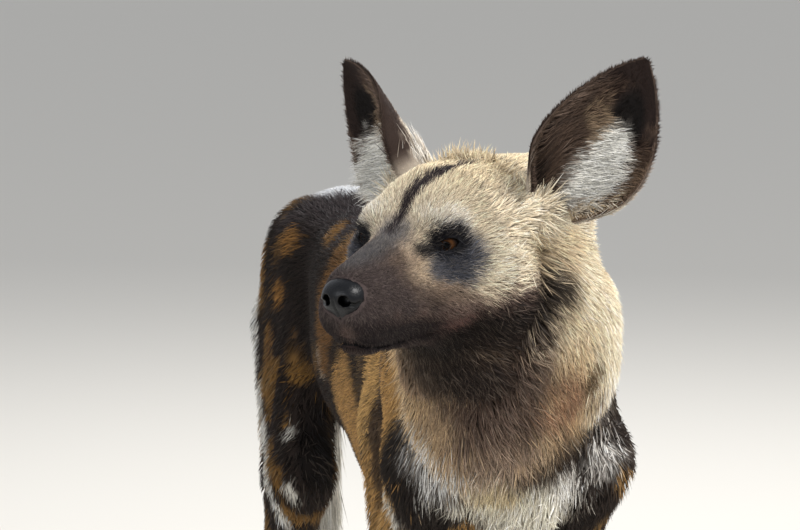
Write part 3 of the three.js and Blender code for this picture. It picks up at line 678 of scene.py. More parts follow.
# Meshes
def build(name, points, faces, colours=None, uv=None, material=None, smooth=True):
    """Makes a mesh object from arrays of points in the animal's frame and of triangles."""
    mesh = bpy.data.meshes.new(name)
    mesh.vertices.add(len(points))
    mesh.vertices.foreach_set("co", metres(points).astype(np.float32).ravel())
    mesh.loops.add(len(faces) * 3)
    mesh.loops.foreach_set("vertex_index", faces.astype(np.int32).ravel())
    mesh.polygons.add(len(faces))
    mesh.polygons.foreach_set("loop_start", np.arange(0, len(faces) * 3, 3, dtype=np.int32))
    mesh.polygons.foreach_set("loop_total", np.full(len(faces), 3, np.int32))
    mesh.polygons.foreach_set("use_smooth", np.full(len(faces), smooth))
    mesh.update(calc_edges=True)
    if colours is not None:
        layer = mesh.color_attributes.new("coat", "FLOAT_COLOR", "POINT")
        full = np.ones((len(points), 4), np.float32)
        full[:, :3] = linear(colours)
        layer.data.foreach_set("color", full.ravel())
    if uv is not None:
        layer = mesh.uv_layers.new(name="OFBake")
        layer.data.foreach_set("uv", uv[faces.ravel()].astype(np.float32).ravel())
    piece = bpy.data.objects.new(name, mesh)
    bpy.context.scene.collection.objects.link(piece)
    if material:
        mesh.materials.append(material)
    return piece


def finish(piece, slot, *nodes):
    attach(piece, "root")
    if nodes:
        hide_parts(*nodes)
    return piece


skin = build("skin", skin_points, skin_faces, skin_colour, None, skin_material)
finish(skin, "trunk", "head", "neck", "torso",
       "foreleg_left", "foreleg_right", "hindleg_left", "hindleg_right")


def unwrap(points, faces):
    """Unwraps a patch of skin and gives the UV of each corner of each of its triangles."""
    used, compact = np.unique(faces, return_inverse=True)
    piece = build("unwrap", points[used], compact.reshape(-1, 3))
    for other in bpy.context.selected_objects:
        other.select_set(False)
    bpy.context.view_layer.objects.active = piece
    piece.select_set(True)
    bpy.ops.object.mode_set(mode="EDIT")
    bpy.ops.mesh.select_all(action="SELECT")
    bpy.ops.uv.smart_project(angle_limit=math.radians(66), island_margin=0.002)
    bpy.ops.object.mode_set(mode="OBJECT")
    flat = np.empty(len(faces) * 6, np.float32)
    piece.data.uv_layers.active.data.foreach_get("uv", flat)
    mesh = piece.data
    bpy.data.objects.remove(piece)
    bpy.data.meshes.remove(mesh)
    return flat.reshape(-1, 3, 2)


# Tufts
UV_PATCH = 0.003
FOOT_SUNK = 0.9
SHORT_TUFT = [[0, 2, 1], [0, 1, 3], [1, 2, 3], [2, 0, 3]]
LONG_TUFT = [[0, 2, 1], [0, 1, 4], [0, 4, 3], [1, 2, 5], [1, 5, 4], [2, 0, 3], [2, 3, 5],
             [3, 4, 6], [4, 5, 6], [5, 3, 6]]


def tufts(name, root, normal, lie, length, width, lift, foot_colour, uv, tip_colour=None,
          bend=0.35, tip=1.12, base=0.66, short=False):
    """Grows a solid tapered tuft at each root: three-sided, closed, and bent once if it is long. Its colour is
    darkened at the foot in painted shade (base), easing off up the tuft to a lighter tip.
    """
    count = len(root)
    lie = unit(lie - np.einsum("ij,ij->i", lie, normal)[:, None] * normal)
    across = np.cross(lie, normal)
    length, width, lift = (np.broadcast_to(v, count)[:, None] for v in (length, width, lift))
    rise = np.sin(lift)
    half_way = root + length * 0.5 * (np.cos(lift) * lie + rise * normal)
    rings = [(root - FOOT_SUNK * normal, 1.0, 0.0)]
    if not short:
        rings.append((half_way, 0.82, 0.5))
    points, tones, spots = [], [], []
    for centre, scale, share in rings:
        half = 0.5 * width * scale
        points += [centre + half * across, centre + 1.1 * half * normal, centre - half * across]
        # Painted shade: the foot ring is darkened to base, the middle ring less, and the tip is lightened to tip
        tones += [base + (1 - base) * min(1, share * 1.5)] * 3
        spots += [(-0.5, share), (0, share), (0.5, share)]
    points.append(half_way + length * 0.5 * unit(lie + rise * (1 - bend) * normal))
    tones.append(tip)
    spots.append((0, 1))
    spots = np.array(spots)
    along = spots[None, :, 1:]
    tip_colour = foot_colour if tip_colour is None else tip_colour
    colours = foot_colour[:, None] * (1 - along) + tip_colour[:, None] * along
    colours = colours * np.array(tones)[None, :, None]
    coords = np.clip(uv[:, None] + spots * UV_PATCH, 0, 1)
    faces = np.arange(count)[:, None, None] * len(points) + np.array(SHORT_TUFT if short else LONG_TUFT)
    return build(name, np.stack(points, 1).reshape(-1, 3), faces.reshape(-1, 3), colours.reshape(-1, 3),
                 coords.reshape(-1, 2), fur_material, smooth=False)


# Which part of the body each triangle of the skin belongs to, and which triangles stay bare
corner_points = skin_points[skin_faces]
face_area = 0.5 * np.linalg.norm(np.cross(corner_points[:, 1] - corner_points[:, 0],
                                          corner_points[:, 2] - corner_points[:, 0]), axis=1)
face_centre = corner_points.mean(1)
face_parts = {key: value[skin_faces].mean(1) for key, value in skin_parts_at.items()}
face_head = into_head(face_centre)
face_side = one_sided(face_head)
body_least = np.minimum(face_parts["trunk"], face_parts["leg"])
in_head = (face_parts["head"] < face_parts["ruff"]) & (face_parts["head"] < face_parts["trunk"])
in_head &= face_head[:, 1] < 120
in_neck = ~in_head & (np.minimum(face_parts["ruff"], face_parts["head"]) < body_least)
in_leg = ~in_head & ~in_neck & (face_parts["leg"] < face_parts["trunk"])
in_trunk = ~in_head & ~in_neck & ~in_leg
is_bare = (np.linalg.norm(face_side - EYE, axis=1) < EYE_RADIUS + 5) & (eye_slit(face_side, 2.0) < 0)
is_bare |= lip_line(face_side) < 1.8
is_bare |= nose_flesh(face_side) < 0.4
is_bare |= face_centre[:, 2] < 5


def by_part(parts, values):
    """Mixes values for head, ruff, trunk and legs by how near each part lies."""
    weights = [np.exp(-np.clip(parts[key], -30, 60) / 9) for key in ("head", "ruff", "trunk", "leg")]
    total = sum(weights)
    return sum((value.T * (weight / total)).T for value, weight in zip(values, weights))


def lie_of(p, parts):
    """Which way the hair lies: back from the nose, down the neck and chest, back along the trunk."""
    away = into_head(p) - np.array([0.0, -124.0, -22.0])
    low = ease(-into_head(p)[..., 2], 20, 60)
    away[..., 0] *= 0.8
    away[..., 2] -= 30 * low
    head_way = unit(away) @ TURNED.T
    chord = NECK_END - NECK_START
    share = np.clip((p - NECK_START) @ chord / (chord @ chord), 0, 1)
    tangent = unit(neck_curve(np.clip(share - 0.05, 0, 1)) - neck_curve(share + 0.05))
    neck_way = unit(tangent + np.array([0.0, 0.0, -0.55]))
    chest = ease(-p[..., 1], 250, 340)[..., None]
    trunk_way = unit(np.array([0.0, 1.0, -0.32]) * (1 - chest) + np.array([0.0, 0.15, -1.0]) * chest)
    leg_way = np.broadcast_to(unit(np.array([0.0, 0.3, -1.0])), p.shape)
    return unit(by_part(parts, (head_way, neck_way, trunk_way, leg_way)))


def length_of(p, parts):
    """How long the hair is: shortest on the muzzle and paws, longest on the neck."""
    x, y, _ = xyz(one_sided(into_head(p)))
    head = 5.2 + 6.0 * ease(y, -60, 10) + 9 * ease(y, 15, 75) + 8 * ease(x, 45, 75)
    _, y, z = xyz(p)
    neck = 33 + 5 * ease(-z, -640, -560)
    trunk = 15 + 13 * ease(-y, 240, 330)
    leg = 4.5 + 8 * ease(z, 60, 430)
    return by_part(parts, (head, neck, trunk, leg))


def sow(zone, count, density):
    """Scatters roots over a zone of the skin: the triangle of each, and its place on it."""
    picked = np.flatnonzero(zone & ~is_bare)
    weight = face_area[picked] * (1 if density is None else density[picked])
    chosen = picked[chance.choice(len(picked), count, p=weight / weight.sum())]
    a, b = chance.random(count), chance.random(count)
    flip = a + b > 1
    a[flip], b[flip] = 1 - a[flip], 1 - b[flip]
    return chosen, np.stack([1 - a - b, a, b], 1)


def many(count):
    """A count of tufts, scaled by a factor that is 1, so kept whole."""
    return int(count * (1.0))


def grow_on_skin(name, slot, zone, count, width, short=False, density=None, lifted=0.0, jitter=0.28):
    """Grows one piece of coat over a zone of the skin."""
    count = many(count)
    chosen, bary = sow(zone, count, density)

    def at_roots(corners):
        return np.einsum("ij,ijk->ik", bary, corners)

    zone_faces = np.flatnonzero(zone)
    corners = unwrap(skin_points, skin_faces[zone_faces])
    uv = at_roots(corners[np.searchsorted(zone_faces, chosen)])
    root = at_roots(skin_points[skin_faces[chosen]])
    normal = unit(at_roots(skin_normals[skin_faces[chosen]]))
    parts = parts_at(root)
    sway = np.stack([noise(root, 16, 30 + i) for i in range(3)], 1)
    lie = unit(lie_of(root, parts) + 0.34 * sway + jitter * chance.normal(size=root.shape))
    length = length_of(root, parts) * (0.75 + 0.5 * chance.random(count))
    lift = np.arcsin(np.clip(1.15 * (coat_depth(root, parts) + lifted) / length, 0.12, 0.8))
    scatter = (1.6 + 2.0 * ease(length, 4, 20))[:, None] * chance.normal(size=root.shape)
    light = (0.74 + 0.44 * chance.random(count))[:, None]
    grizzle = (0.26 * (chance.random(count) < 0.22) * ease(parts["trunk"], -10, 30))[:, None]
    tones = []
    for share in (0.3, 0.85):
        spot = root + (share * length)[:, None] * lie + scatter
        tone = coat_colour(spot, parts_at(spot)) * light
        tones.append(tone + (shade("b3a593") - tone) * grizzle)
    thick = width * (0.8 + 0.4 * chance.random(count)) * (0.55 + 0.45 * ease(length, 3, 14))
    finish(tufts(name, root, normal, lie, length, thick, lift, tones[0], uv, tones[1], short=short), slot)


face_zone = in_head & (face_head[:, 1] < 38)
face_density = 1 + 2.2 * ease(-face_head[:, 1], -30, 30)
chest_zone = in_trunk & (face_centre[:, 1] < -215)
leg_density = 1 + 1.2 * ease(-face_centre[:, 2], -420, -120)
HALVES = {"left": face_centre[:, 0] > 0, "right": face_centre[:, 0] <= 0}
NECK_HALVES = {"left": face_centre[:, 0] > -40, "right": face_centre[:, 0] <= -40}

grow_on_skin("coat_face", "face", face_zone, 49500, 1.15, short=True, density=face_density)
grow_on_skin("coat_cheeks", "face", in_head & ~face_zone, 18500, 1.5, lifted=1.0)
for side, half in NECK_HALVES.items():
    grow_on_skin(f"coat_neck_{side}", "neck", in_neck & half, 18500, 1.9, lifted=7.0, jitter=0.2)
grow_on_skin("coat_chest", "trunk", chest_zone, 13000, 2.0, lifted=1.0)
for side, half in HALVES.items():
    grow_on_skin(f"coat_trunk_{side}", "trunk", in_trunk & ~chest_zone & half, 25000, 2.1, short=True)
for side, half in HALVES.items():
    grow_on_skin(f"coat_legs_{side}", "leg", in_leg & half, 23000, 1.8, short=True, density=leg_density)


# Ears: foot, tip and the way the cup faces, in the head's frame, and how wide the inner half is
EARS = {
    "left": ([80, 95, 30], [155, 119, 149], [0.29, -0.95, 0.12], 1.0),
    "right": ([52, 107, 34], [152, 119, 132], [0.6, -0.79, 0.1], 1.2),
}
EAR_HALF = 57.0
EAR_BOW = 8.0
EAR_MIDDLE = 1.4
FOOT_FOLD, TIP_FOLD = 1.9, 0.42
FOLD_STEPS = 12


def ear_frame(side):
    base, tip, facing = (np.array(v, float) for v in EARS[side][:3])
    along = unit(tip - base)
    front = unit(facing - (facing @ along) * along)
    return base, tip, along, front, -np.cross(along, front)


def ear_place(side, share, across, deep):
    """A place on an ear: share runs up it, across runs from its outer edge (-1) to its inner one (1)."""
    base, tip, along, front, sideways = ear_frame(side)
    share, across = np.broadcast_arrays(np.asarray(share, float), np.asarray(across, float))
    fold = TIP_FOLD + (FOOT_FOLD - TIP_FOLD) * (1 - share) ** 2.2
    narrow = 1 - 0.26 * (1 - np.minimum(1, share / 0.25)) ** 1.5
    half = EAR_HALF * narrow * np.maximum(0.02, 1 - (np.maximum(0, share - 0.2) / 0.8) ** 1.8) ** 0.8
    half = half * np.where(across > 0, EARS[side][3], 1.0)
    to_side = np.zeros(share.shape)
    to_front = np.zeros(share.shape)
    for i in range(FOLD_STEPS):
        step = across * (i + 0.5) / FOLD_STEPS
        turn = fold * step * (1 + 0.35 * step)
        to_side += half * across * np.cos(turn) / FOLD_STEPS
        to_front += half * across * np.sin(turn) / FOLD_STEPS
    turn = fold * across * (1 + 0.35 * across)
    to_side = to_side + deep * np.sin(turn) - EAR_BOW * np.sin(np.pi * share)
    to_front = to_front - deep * np.cos(turn)
    up = share * np.linalg.norm(tip - base)
    place = base + sum(far[..., None] * way for far, way in ((up, along), (to_side, sideways), (to_front, front)))
    place[..., 0] *= SIDES[side]
    outward = np.sin(turn)[..., None] * sideways - np.cos(turn)[..., None] * front
    outward[..., 0] *= SIDES[side]
    return from_head(place), outward @ TURNED.T


def ear_spot(share, across, centre, radii, ragged):
    reach = np.hypot((share - centre[0]) / radii[0], (across - centre[1]) / radii[1])
    return 1 - ease(reach + ragged, 0.72, 1.28)


CUP_PATCH = {"left": (-0.12, 0.46), "right": (-0.42, 0.62)}


def ear_colour(side, share, across, inside, p):
    """Colour of an ear, inside (1) or on its back (0)."""
    speck = 0.22 * noise(p, 8, 40) + 0.16 * noise(p, 3.5, 41)
    middle, reach = CUP_PATCH[side]
    back = layered("41342e", p.shape, [
        ("8f8074", ease(share + 0.5 * speck, 0.62, 0.42)),
        ("d0c2b0", ease(share + 0.5 * speck, 0.42, 0.22)),  # pale foot
        ("3a2d27", ease(across + 0.5 * speck, 0.50, 0.78) * ease(share, 0.02, 0.16)),  # inner edge
    ])
    cup = layered("2a1f1b", p.shape, [
        ("5d4b3e", 0.8 * ease(share + speck, 0.78, 0.55)),
        ("8f7b63", 0.8 * ear_spot(share, across, (0.52, 0.35), (0.16, 0.35), 1.4 * speck)),
        ("4b3c32", ease(across + speck, 0.42, 0.66) * ease(share, 0.85, 0.65)),  # inner edge
        ("2b211c", ease(across + speck, 0.6, 0.8) * ease(share + speck, 0.34, 0.10)),
        ("6d5a49", ease(-across + speck, 0.5, 0.8) * ease(share + speck, 0.60, 0.40)),  # outer edge
        ("cbb595", ease(-across + speck, 0.3, 0.6) * ease(share + speck, 0.30, 0.14)),
        # Painted shade: the near-black spot in the hollow of the cup
        ("130e0c", ear_spot(share, across, (0.67, -0.20), (0.15, 0.42), 0.5 * speck)),  # dark hollow
        ("d9d6cd", ear_spot(share, across, (0.27, middle), (0.30, reach), speck)),  # pale hair of the cup
        ("7d6a5d", 0.7 * ease(np.abs(across), 0.95, 0.99)),  # rim
    ])
    return back + (cup - back) * np.asarray(inside, float)[..., None]


def ear_deep(share, inside):
    """How deep the ear's two faces lie: the inner one inside the cup, the outer one on its back."""
    half = (4.2 - 2.4 * share) / 2
    return np.where(inside, EAR_MIDDLE - half, EAR_MIDDLE + half)


def wall(rings, around):
    """The numbers of a tube's points, ring by ring, and the triangles between its rings."""
    index = np.arange(rings * around).reshape(rings, around)
    a, d = index[:-1], index[1:]
    b, c = np.roll(a, -1, 1), np.roll(d, -1, 1)
    return index, np.concatenate([np.stack(tri, -1).reshape(-1, 3) for tri in ([a, b, c], [a, c, d])])


def ear_cap(ring):
    """Closes a flattened ring between its outer and inner halves."""
    outer, inner = ring[:len(ring) // 2], ring[::-1][:len(ring) // 2]
    return np.concatenate([np.stack([outer[:-1], inner[:-1], outer[1:]], 1),
                           np.stack([outer[1:], inner[:-1], inner[1:]], 1)])


def ear_skin(side, rows=44, columns=36):
    """A closed shell: the back of the ear from edge to edge, and the cup on the way back."""
    up = 1 - (1 - np.linspace(0, 1, rows)) ** 1.3
    along = np.linspace(-1, 1, columns)
    share, across = np.meshgrid(up, np.concatenate([along, along[::-1]]), indexing="ij")
    inside = np.broadcast_to(np.arange(2 * columns) >= columns, share.shape)
    points, _ = ear_place(side, share, across, ear_deep(share, inside))
    colours = 0.85 * ear_colour(side, share, across, inside, points)
    index, faces = wall(rows, 2 * columns)
    faces = np.concatenate([faces, ear_cap(index[0]), ear_cap(index[-1])[:, ::-1]])
    points = points.reshape(-1, 3)
    faces = facing_out(points, faces)
    piece = build(f"ear_skin_{side}", points, faces, colours.reshape(-1, 3), None, skin_material)
    finish(piece, "ear", f"ear_{side}")


def ear_roots(side, share, across, inside, aside):
    """Roots on an ear, which way they face, and the ways up the ear and to one side."""
    deep = ear_deep(share, inside)
    root, outward = ear_place(side, share, across, deep)
    ahead, _ = ear_place(side, np.minimum(1, share + 0.02), across, deep)
    beside, _ = ear_place(side, share, across + aside, deep)
    return root, np.where(inside[:, None], -outward, outward), unit(ahead - root), unit(beside - root)


def ear_coat(side, count):
    """Short fur of the back, the rim and the cup."""
    share = 1 - chance.random(count) ** 0.62
    across = chance.uniform(-1, 1, count)
    rim = chance.random(count) < 0.22
    across[rim] = np.sign(across[rim]) * (1 - 0.05 * chance.random(rim.sum()))
    inside = chance.random(count) < 0.42
    root, normal, ahead, beside = ear_roots(side, share, across, inside, 0.02)
    over_edge = 0.5 * np.sign(across) * (np.abs(across) > 0.8)
    lie = ahead + over_edge[:, None] * beside + 0.3 * chance.normal(size=root.shape)
    colour = ear_colour(side, share, across, inside, root) * (0.82 + 0.4 * chance.random(count))[:, None]
    length = (3.6 + 2.5 * (1 - share)) * (0.7 + 0.6 * chance.random(count))
    uv = np.stack([0.02 + 0.46 * (across + 1) / 2 + 0.5 * inside, 0.02 + 0.94 * share], 1)
    finish(tufts(f"coat_ear_{side}", root, normal, lie, length, 0.9, 0.32, colour, uv, short=True), "ear")


def ear_hair(side, count):
    """Long hair: pale and brushed outwards in the cup, dark down the inner edge and round the foot."""
    pick = chance.random(count)
    in_cup = pick < 0.62
    across = np.where(in_cup, chance.uniform(-0.75, 0.62, count), chance.uniform(0.45, 1.0, count))
    share = np.where(in_cup, chance.uniform(0.02, 0.58, count), chance.uniform(0.0, 0.78, count))
    at_foot = pick > 0.9
    across[at_foot] = chance.uniform(-1, 1, at_foot.sum())
    share[at_foot] = chance.uniform(0.0, 0.14, at_foot.sum())
    root, normal, ahead, beside = ear_roots(side, share, across, ~at_foot, -0.02)
    sweep = np.where(at_foot, 0.0, np.where(in_cup, 1.0, 0.3))[:, None]
    lie = sweep * beside + (1.05 - 0.6 * sweep) * ahead + 0.24 * chance.normal(size=root.shape)
    length = (13 + 11 * ease(share, 0.6, 0.2)) * (0.7 + 0.6 * chance.random(count))
    colour = ear_colour(side, share, across, ~at_foot, root)
    pale = ease(colour.sum(-1), 1.7, 2.2) * (chance.random(count) < 0.7)
    colour = paint(colour, "efece4", 0.6 * pale) * (0.78 + 0.40 * chance.random(count))[:, None]
    uv = np.stack([0.02 + 0.96 * (across + 1) / 2, 0.02 + 0.94 * share], 1)
    # base=0.75: the painted shade at these hairs' roots is lighter than on the body
    piece = tufts(f"ear_hair_{side}", root, normal, lie, length, 0.95, 0.34, colour, uv, bend=0.5, base=0.75)
    finish(piece, "ear")


for side in SIDES:
    ear_skin(side)
    ear_coat(side, many(13000))
    ear_hair(side, many(4300))


# Tail
TAIL = np.array([[0, 292, 646], [0, 336, 634], [0, 366, 580],
                 [0, 381, 490], [0, 384, 400], [0, 380, 340]], float)


def tail_place(t):
    """A place and a direction on the tail's curve, t from 0 at its root to 1 at the end of its bone."""
    t = np.clip(np.asarray(t, float), 0, 1) * (len(TAIL) - 1)
    i = np.clip(np.floor(t).astype(int), 0, len(TAIL) - 2)
    f = (t - i)[..., None]
    before, after = TAIL[np.maximum(i - 1, 0)], TAIL[np.minimum(i + 2, len(TAIL) - 1)]
    a, b = TAIL[i], TAIL[i + 1]
    ta, tb = (b - before) / 2, (after - a) / 2
    place = ((2 * f ** 3 - 3 * f ** 2 + 1) * a + (f ** 3 - 2 * f ** 2 + f) * ta
             + (3 * f ** 2 - 2 * f ** 3) * b + (f ** 3 - f ** 2) * tb)
    way = ((6 * f ** 2 - 6 * f) * a + (3 * f ** 2 - 4 * f + 1) * ta
           + (6 * f - 6 * f ** 2) * b + (3 * f ** 2 - 2 * f) * tb)
    return place, unit(way)


def tail_rays(way, angle):
    """Directions square to the tail, at angles round it."""
    sideways = np.array([1.0, 0.0, 0.0])
    return np.cos(angle)[..., None] * sideways + np.sin(angle)[..., None] * np.cross(way, sideways)


def tail_colour(t, p):
    t = t + 0.05 * noise(p, 18, 50)
    return layered("a57c46", p.shape, [("2a211c", ease(t, 0.26, 0.36)), ("e2ddd2", ease(t, 0.50, 0.60))])


def tail_radius(t):
    return 19 - 9 * np.minimum(1, t / 0.5) - 3 * t


def tail_skin(rings=46, around=20):
    t = np.linspace(0, 1, rings)
    place, way = tail_place(t)
    rays = tail_rays(way[:, None], np.arange(around) * 2 * np.pi / around)
    tube = place[:, None] + tail_radius(t)[:, None, None] * rays
    points = np.concatenate([tube.reshape(-1, 3), place[:1], place[-1:] + 6 * way[-1:]])
    index, faces = wall(rings, around)
    first, last = np.full(around, rings * around), np.full(around, rings * around + 1)
    faces = np.concatenate([faces, np.stack([first, np.roll(index[0], -1), index[0]], -1),
                            np.stack([last, index[-1], np.roll(index[-1], -1)], -1)])
    point_t = np.concatenate([np.repeat(t, around), [0, 1]])
    colours = 0.8 * tail_colour(point_t, points)
    piece = build("tail_skin", points, facing_out(points, faces), colours, None, skin_material)
    finish(piece, "brush", "tail")


def tail_coat(count):
    t = chance.random(count) ** 0.85
    angle = chance.uniform(0, 2 * np.pi, count)
    place, way = tail_place(t)
    ray = tail_rays(way, angle)
    root = place + tail_radius(t)[:, None] * ray
    length = 15 + 62 * ease(t, 0.12, 0.42) - 12 * ease(t, 0.9, 1.0)
    length = length * (0.7 + 0.45 * chance.random(count))
    lift = 0.20 + 0.24 * ease(t, 0.12, 0.4) * ease(t, 1.02, 0.75)
    sway = np.stack([noise(root, 20, 60 + i) for i in range(3)], 1)
    lie = way + 0.10 * chance.normal(size=root.shape) + 0.12 * sway
    colour = tail_colour(t + 0.03 * chance.normal(size=count), root)
    colour = colour * (0.84 + 0.28 * chance.random(count))[:, None]
    uv = np.stack([0.02 + 0.95 * angle / (2 * np.pi), 0.02 + 0.95 * t], 1)
    width = 2.3 * (0.7 + 0.5 * chance.random(count))
    finish(tufts("coat_tail", root, ray, lie, length, width, lift, colour, uv, bend=0.75, tip=1.06), "brush")


tail_skin()
tail_coat(many(12500))


# Eyes: which way each looks, in the head's frame
GAZE = {"left": np.array([0.44, -0.90, -0.02]), "right": np.array([-0.40, -0.91, -0.02])}
EYE_LOOSE = 0.25
CORNEA_BULGE = 0.5


def eye_material():
    """A brown eye under a clear wet cornea: deep in colour, with one small sharp highlight."""
    material, tree, shader = new_material("eye under a clear wet cornea", {
        "Roughness": 0.3, "Coat Weight": 0.16, "Coat Roughness": 0.02, "Specular IOR Level": 0.0})
    colour = add_node(tree, "ShaderNodeAttribute", {"attribute_name": "coat"})
    tree.links.new(colour.outputs["Color"], shader.inputs["Base Color"])
    return material


def unit_sphere():
    """Points and triangles of a sphere, pole up."""
    bpy.ops.mesh.primitive_uv_sphere_add(segments=72, ring_count=48, radius=1.0)
    sphere = bpy.context.active_object
    mesh = sphere.data
    points = np.empty(len(mesh.vertices) * 3, np.float32)
    mesh.vertices.foreach_get("co", points)
    mesh.calc_loop_triangles()
    tris = np.empty(len(mesh.loop_triangles) * 3, np.int32)
    mesh.loop_triangles.foreach_get("vertices", tris)
    bpy.data.objects.remove(sphere)
    bpy.data.meshes.remove(mesh)
    return unit(points.reshape(-1, 3).astype(float)), tris.reshape(-1, 3)


def eyeball(side, material):
    """A sphere turned to the gaze, with a bulging cornea and an iris ringed round it."""
    raw, tris = unit_sphere()
    gaze = unit(GAZE[side])
    level = np.cross(gaze, [0, 0, 1.0])
    around_gaze = raw @ np.stack([level, np.cross(level, gaze), gaze], 1).T
    off_axis = np.degrees(np.arccos(np.clip(around_gaze @ gaze, -1, 1)))
    cornea = CORNEA_BULGE * ease(-off_axis, -32, -10)
    centre = EYE * [SIDES[side], 1, 1]
    points = from_head(centre + (EYE_RADIUS - EYE_LOOSE + cornea)[:, None] * around_gaze)
    bearing = np.arctan2(raw[:, 1], raw[:, 0])
    streak = 0.10 * np.sin(bearing * 31) + 0.06 * np.sin(bearing * 53)
    colours = layered("140e0c", points.shape, [
        ("24160c", ease(off_axis, 37, 34.5)),  # dark rim of the iris
        ("4a2d15", (0.75 + streak) * ease(off_axis, 33, 24)),  # iris
        ("2c1a0b", ease(off_axis, 18, 15)),
        ("020202", ease(off_axis, 14.6, 13.4)),  # pupil
    ])
    finish(build(f"eyeball_{side}", points, tris, colours, None, material), "eye", f"eye_{side}")


wet_eye = eye_material()
for side in SIDES:
    eyeball(side, wet_eye)


# Nose: each nostril is a comma-shaped tube along these places
NOSTRIL = [[7.5, -104, -38], [8.5, -111, -38.5], [12, -109, -41], [16.5, -104, -42], [19.5, -100, -39]]
NOSTRIL_RADII = [5.0, 4.6, 3.0, 1.9, 1.0]
NOSE_BACK = -71
GROOVE_HALF, GROOVE_DEEP = 1.3, 1.2
NOSE_STEP = 0.9


def nostril(side):
    hole = np.full(side.shape[:-1], 1e4)
    for i in range(len(NOSTRIL) - 1):
        tube, _ = rod(NOSTRIL[i], NOSTRIL[i + 1], NOSTRIL_RADII[i], NOSTRIL_RADII[i + 1])
        hole = np.minimum(hole, tube(side))
    return hole


def nose_skin(p):
    """The nose pad with its nostrils and the groove down its middle."""
    side = one_sided(into_head(p))
    pad = np.maximum(nose_flesh(side), side[..., 1] - NOSE_BACK)
    pad = np.maximum(pad, -nostril(side))
    return pad + np.maximum(0, 1 - side[..., 0] / GROOVE_HALF) * GROOVE_DEEP * ease(-side[..., 2], 34, 40)


def nose_material():
    """Nose leather: blue-black, pebbled in millimetre grains and wet enough to shine a little."""
    material, tree, shader = new_material("wet nose leather", {
        "Roughness": 0.34, "Specular IOR Level": 0.22, "Coat Weight": 0.12, "Coat Roughness": 0.15})
    colour = add_node(tree, "ShaderNodeAttribute", {"attribute_name": "coat"})
    tree.links.new(colour.outputs["Color"], shader.inputs["Base Color"])
    place = add_node(tree, "ShaderNodeTexCoord")
    pebbles = add_node(tree, "ShaderNodeTexVoronoi", {"Scale": 900.0}, {"Vector": place.outputs["Object"]})
    raised = add_node(tree, "ShaderNodeBump", {"Strength": 0.5, "Distance": 0.0004},
                      {"Height": pebbles.outputs["Distance"]})
    tree.links.new(raised.outputs["Normal"], shader.inputs["Normal"])
    return material


points, faces = surface(nose_skin, [-26, -118, -66], [26, -66, -14], NOSE_STEP, from_head)
# Painted shade: the insides of the nostrils are darkened below the pad's own black
nostril_shade = ease(nostril(one_sided(into_head(points))), 1.2, 0.3)
nose_colour = layered("090a0e", points.shape, [("030304", nostril_shade)])
finish(build("nose_pad", points, faces, nose_colour, None, nose_material()), "nose", "nose")


# Claws keep their solids and get a horn finish
def claw_material():
    """Claw horn: brown-black, worn to a low shine, and clouded where it grew unevenly."""
    material, tree, shader = new_material("dark claw horn", {"Roughness": 0.45})
    place = add_node(tree, "ShaderNodeTexCoord")
    growth = add_node(tree, "ShaderNodeTexNoise", {"Scale": 260.0, "Detail": 2.0},
                      {"Vector": place.outputs["Object"]})
    ramp = add_node(tree, "ShaderNodeValToRGB", {}, {"Fac": growth.outputs["Fac"]})
    for stop, tint in zip(ramp.color_ramp.elements, ("17120f", "4a3b30")):
        stop.color = (*linear(shade(tint)), 1)
    tree.links.new(ramp.outputs["Color"], shader.inputs["Base Color"])
    return material


horn = claw_material()
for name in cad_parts:
    if name.startswith("claw_"):
        claw = bpy.data.objects[name]
        claw.data.materials.clear()
        claw.data.materials.append(horn)


# Floor: matt pale paper, so that it gives no reflection under the paws
floor_material, floor_tree, floor_shader = new_material("matt pale studio floor", {
    "Base Color": (*linear(shade("dcd8d0")), 1), "Roughness": 0.9})
bpy.ops.mesh.primitive_plane_add(size=120)
floor = bpy.context.active_object
floor.name = "floor"
floor.data.materials.append(floor_material)

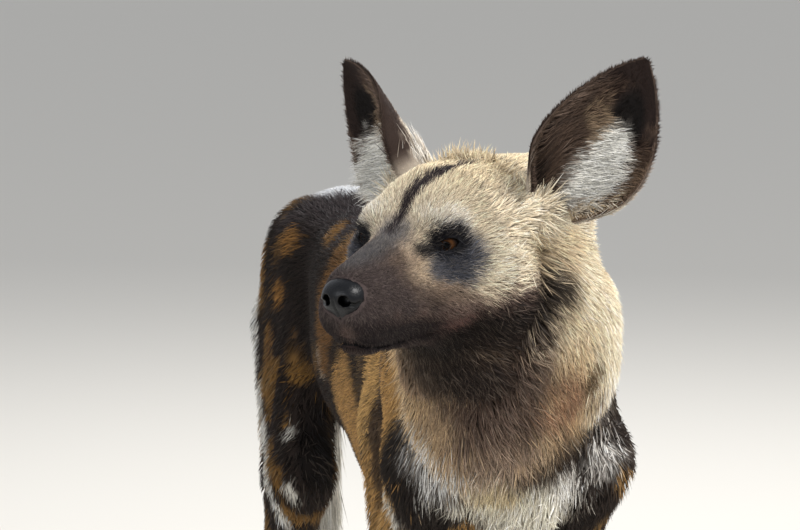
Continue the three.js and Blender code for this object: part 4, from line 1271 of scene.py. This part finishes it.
# Camera: the head's origin falls on its place in the photo, at a focal length in the photo's pixels
PHOTO_SIZE = (800, 530)
HEAD_IN_PHOTO = (411, 240)
CAMERA_TURN = math.radians(-15.5)
CAMERA_DROP = math.radians(7.4)
FOCAL = 4824.0
DISTANCE = 4.0
SENSOR = 36.0
level = Vector((math.sin(CAMERA_TURN), -math.cos(CAMERA_TURN), 0))
back = level * math.cos(CAMERA_DROP) + Vector((0, 0, math.sin(CAMERA_DROP)))
right = Vector((math.cos(CAMERA_TURN), math.sin(CAMERA_TURN), 0))
up = right.cross(-back)
to_right = (PHOTO_SIZE[0] / 2 - HEAD_IN_PHOTO[0]) / FOCAL * DISTANCE
to_up = (HEAD_IN_PHOTO[1] - PHOTO_SIZE[1] / 2) / FOCAL * DISTANCE
target = Vector(metres(HEAD_AT)) + right * to_right + up * to_up
camera_data = bpy.data.cameras.new("camera")
camera_data.sensor_width = SENSOR
camera_data.lens = FOCAL * SENSOR / PHOTO_SIZE[0]
camera_data.clip_end = 200
camera = bpy.data.objects.new("camera", camera_data)
turned = Matrix((right, up, back)).transposed().to_4x4()
camera.matrix_world = Matrix.Translation(target + back * DISTANCE) @ turned
bpy.context.scene.collection.objects.link(camera)
bpy.context.scene.camera = camera


def softbox(name, place, aim, size, power, tint=(1, 1, 1)):
    light = bpy.data.lights.new(name, "AREA")
    light.shape = "DISK"
    light.size = size
    light.energy = power
    light.color = tint
    lamp = bpy.data.objects.new(name, light)
    lamp.location = place
    lamp.rotation_euler = (Vector(aim) - Vector(place)).to_track_quat("-Z", "Y").to_euler()
    bpy.context.scene.collection.objects.link(lamp)


softbox("key", (1.6, -2.6, 3.6), (0, -0.3, 0.6), 1.8, 165, (1.0, 0.98, 0.95))
softbox("fill", (-3.2, -2.6, 2.0), (0, -0.2, 0.6), 2.5, 50, (0.95, 0.97, 1.0))
softbox("rim", (1.2, 2.6, 2.8), (0, 0, 0.6), 2.0, 70)
world = bpy.data.worlds.new("soft studio light")
world.use_nodes = True
world.node_tree.nodes["Background"].inputs["Color"].default_value = (0.86, 0.89, 0.94, 1)
world.node_tree.nodes["Background"].inputs["Strength"].default_value = 0.62
bpy.context.scene.world = world
bpy.context.scene.view_settings.view_transform = "Standard"
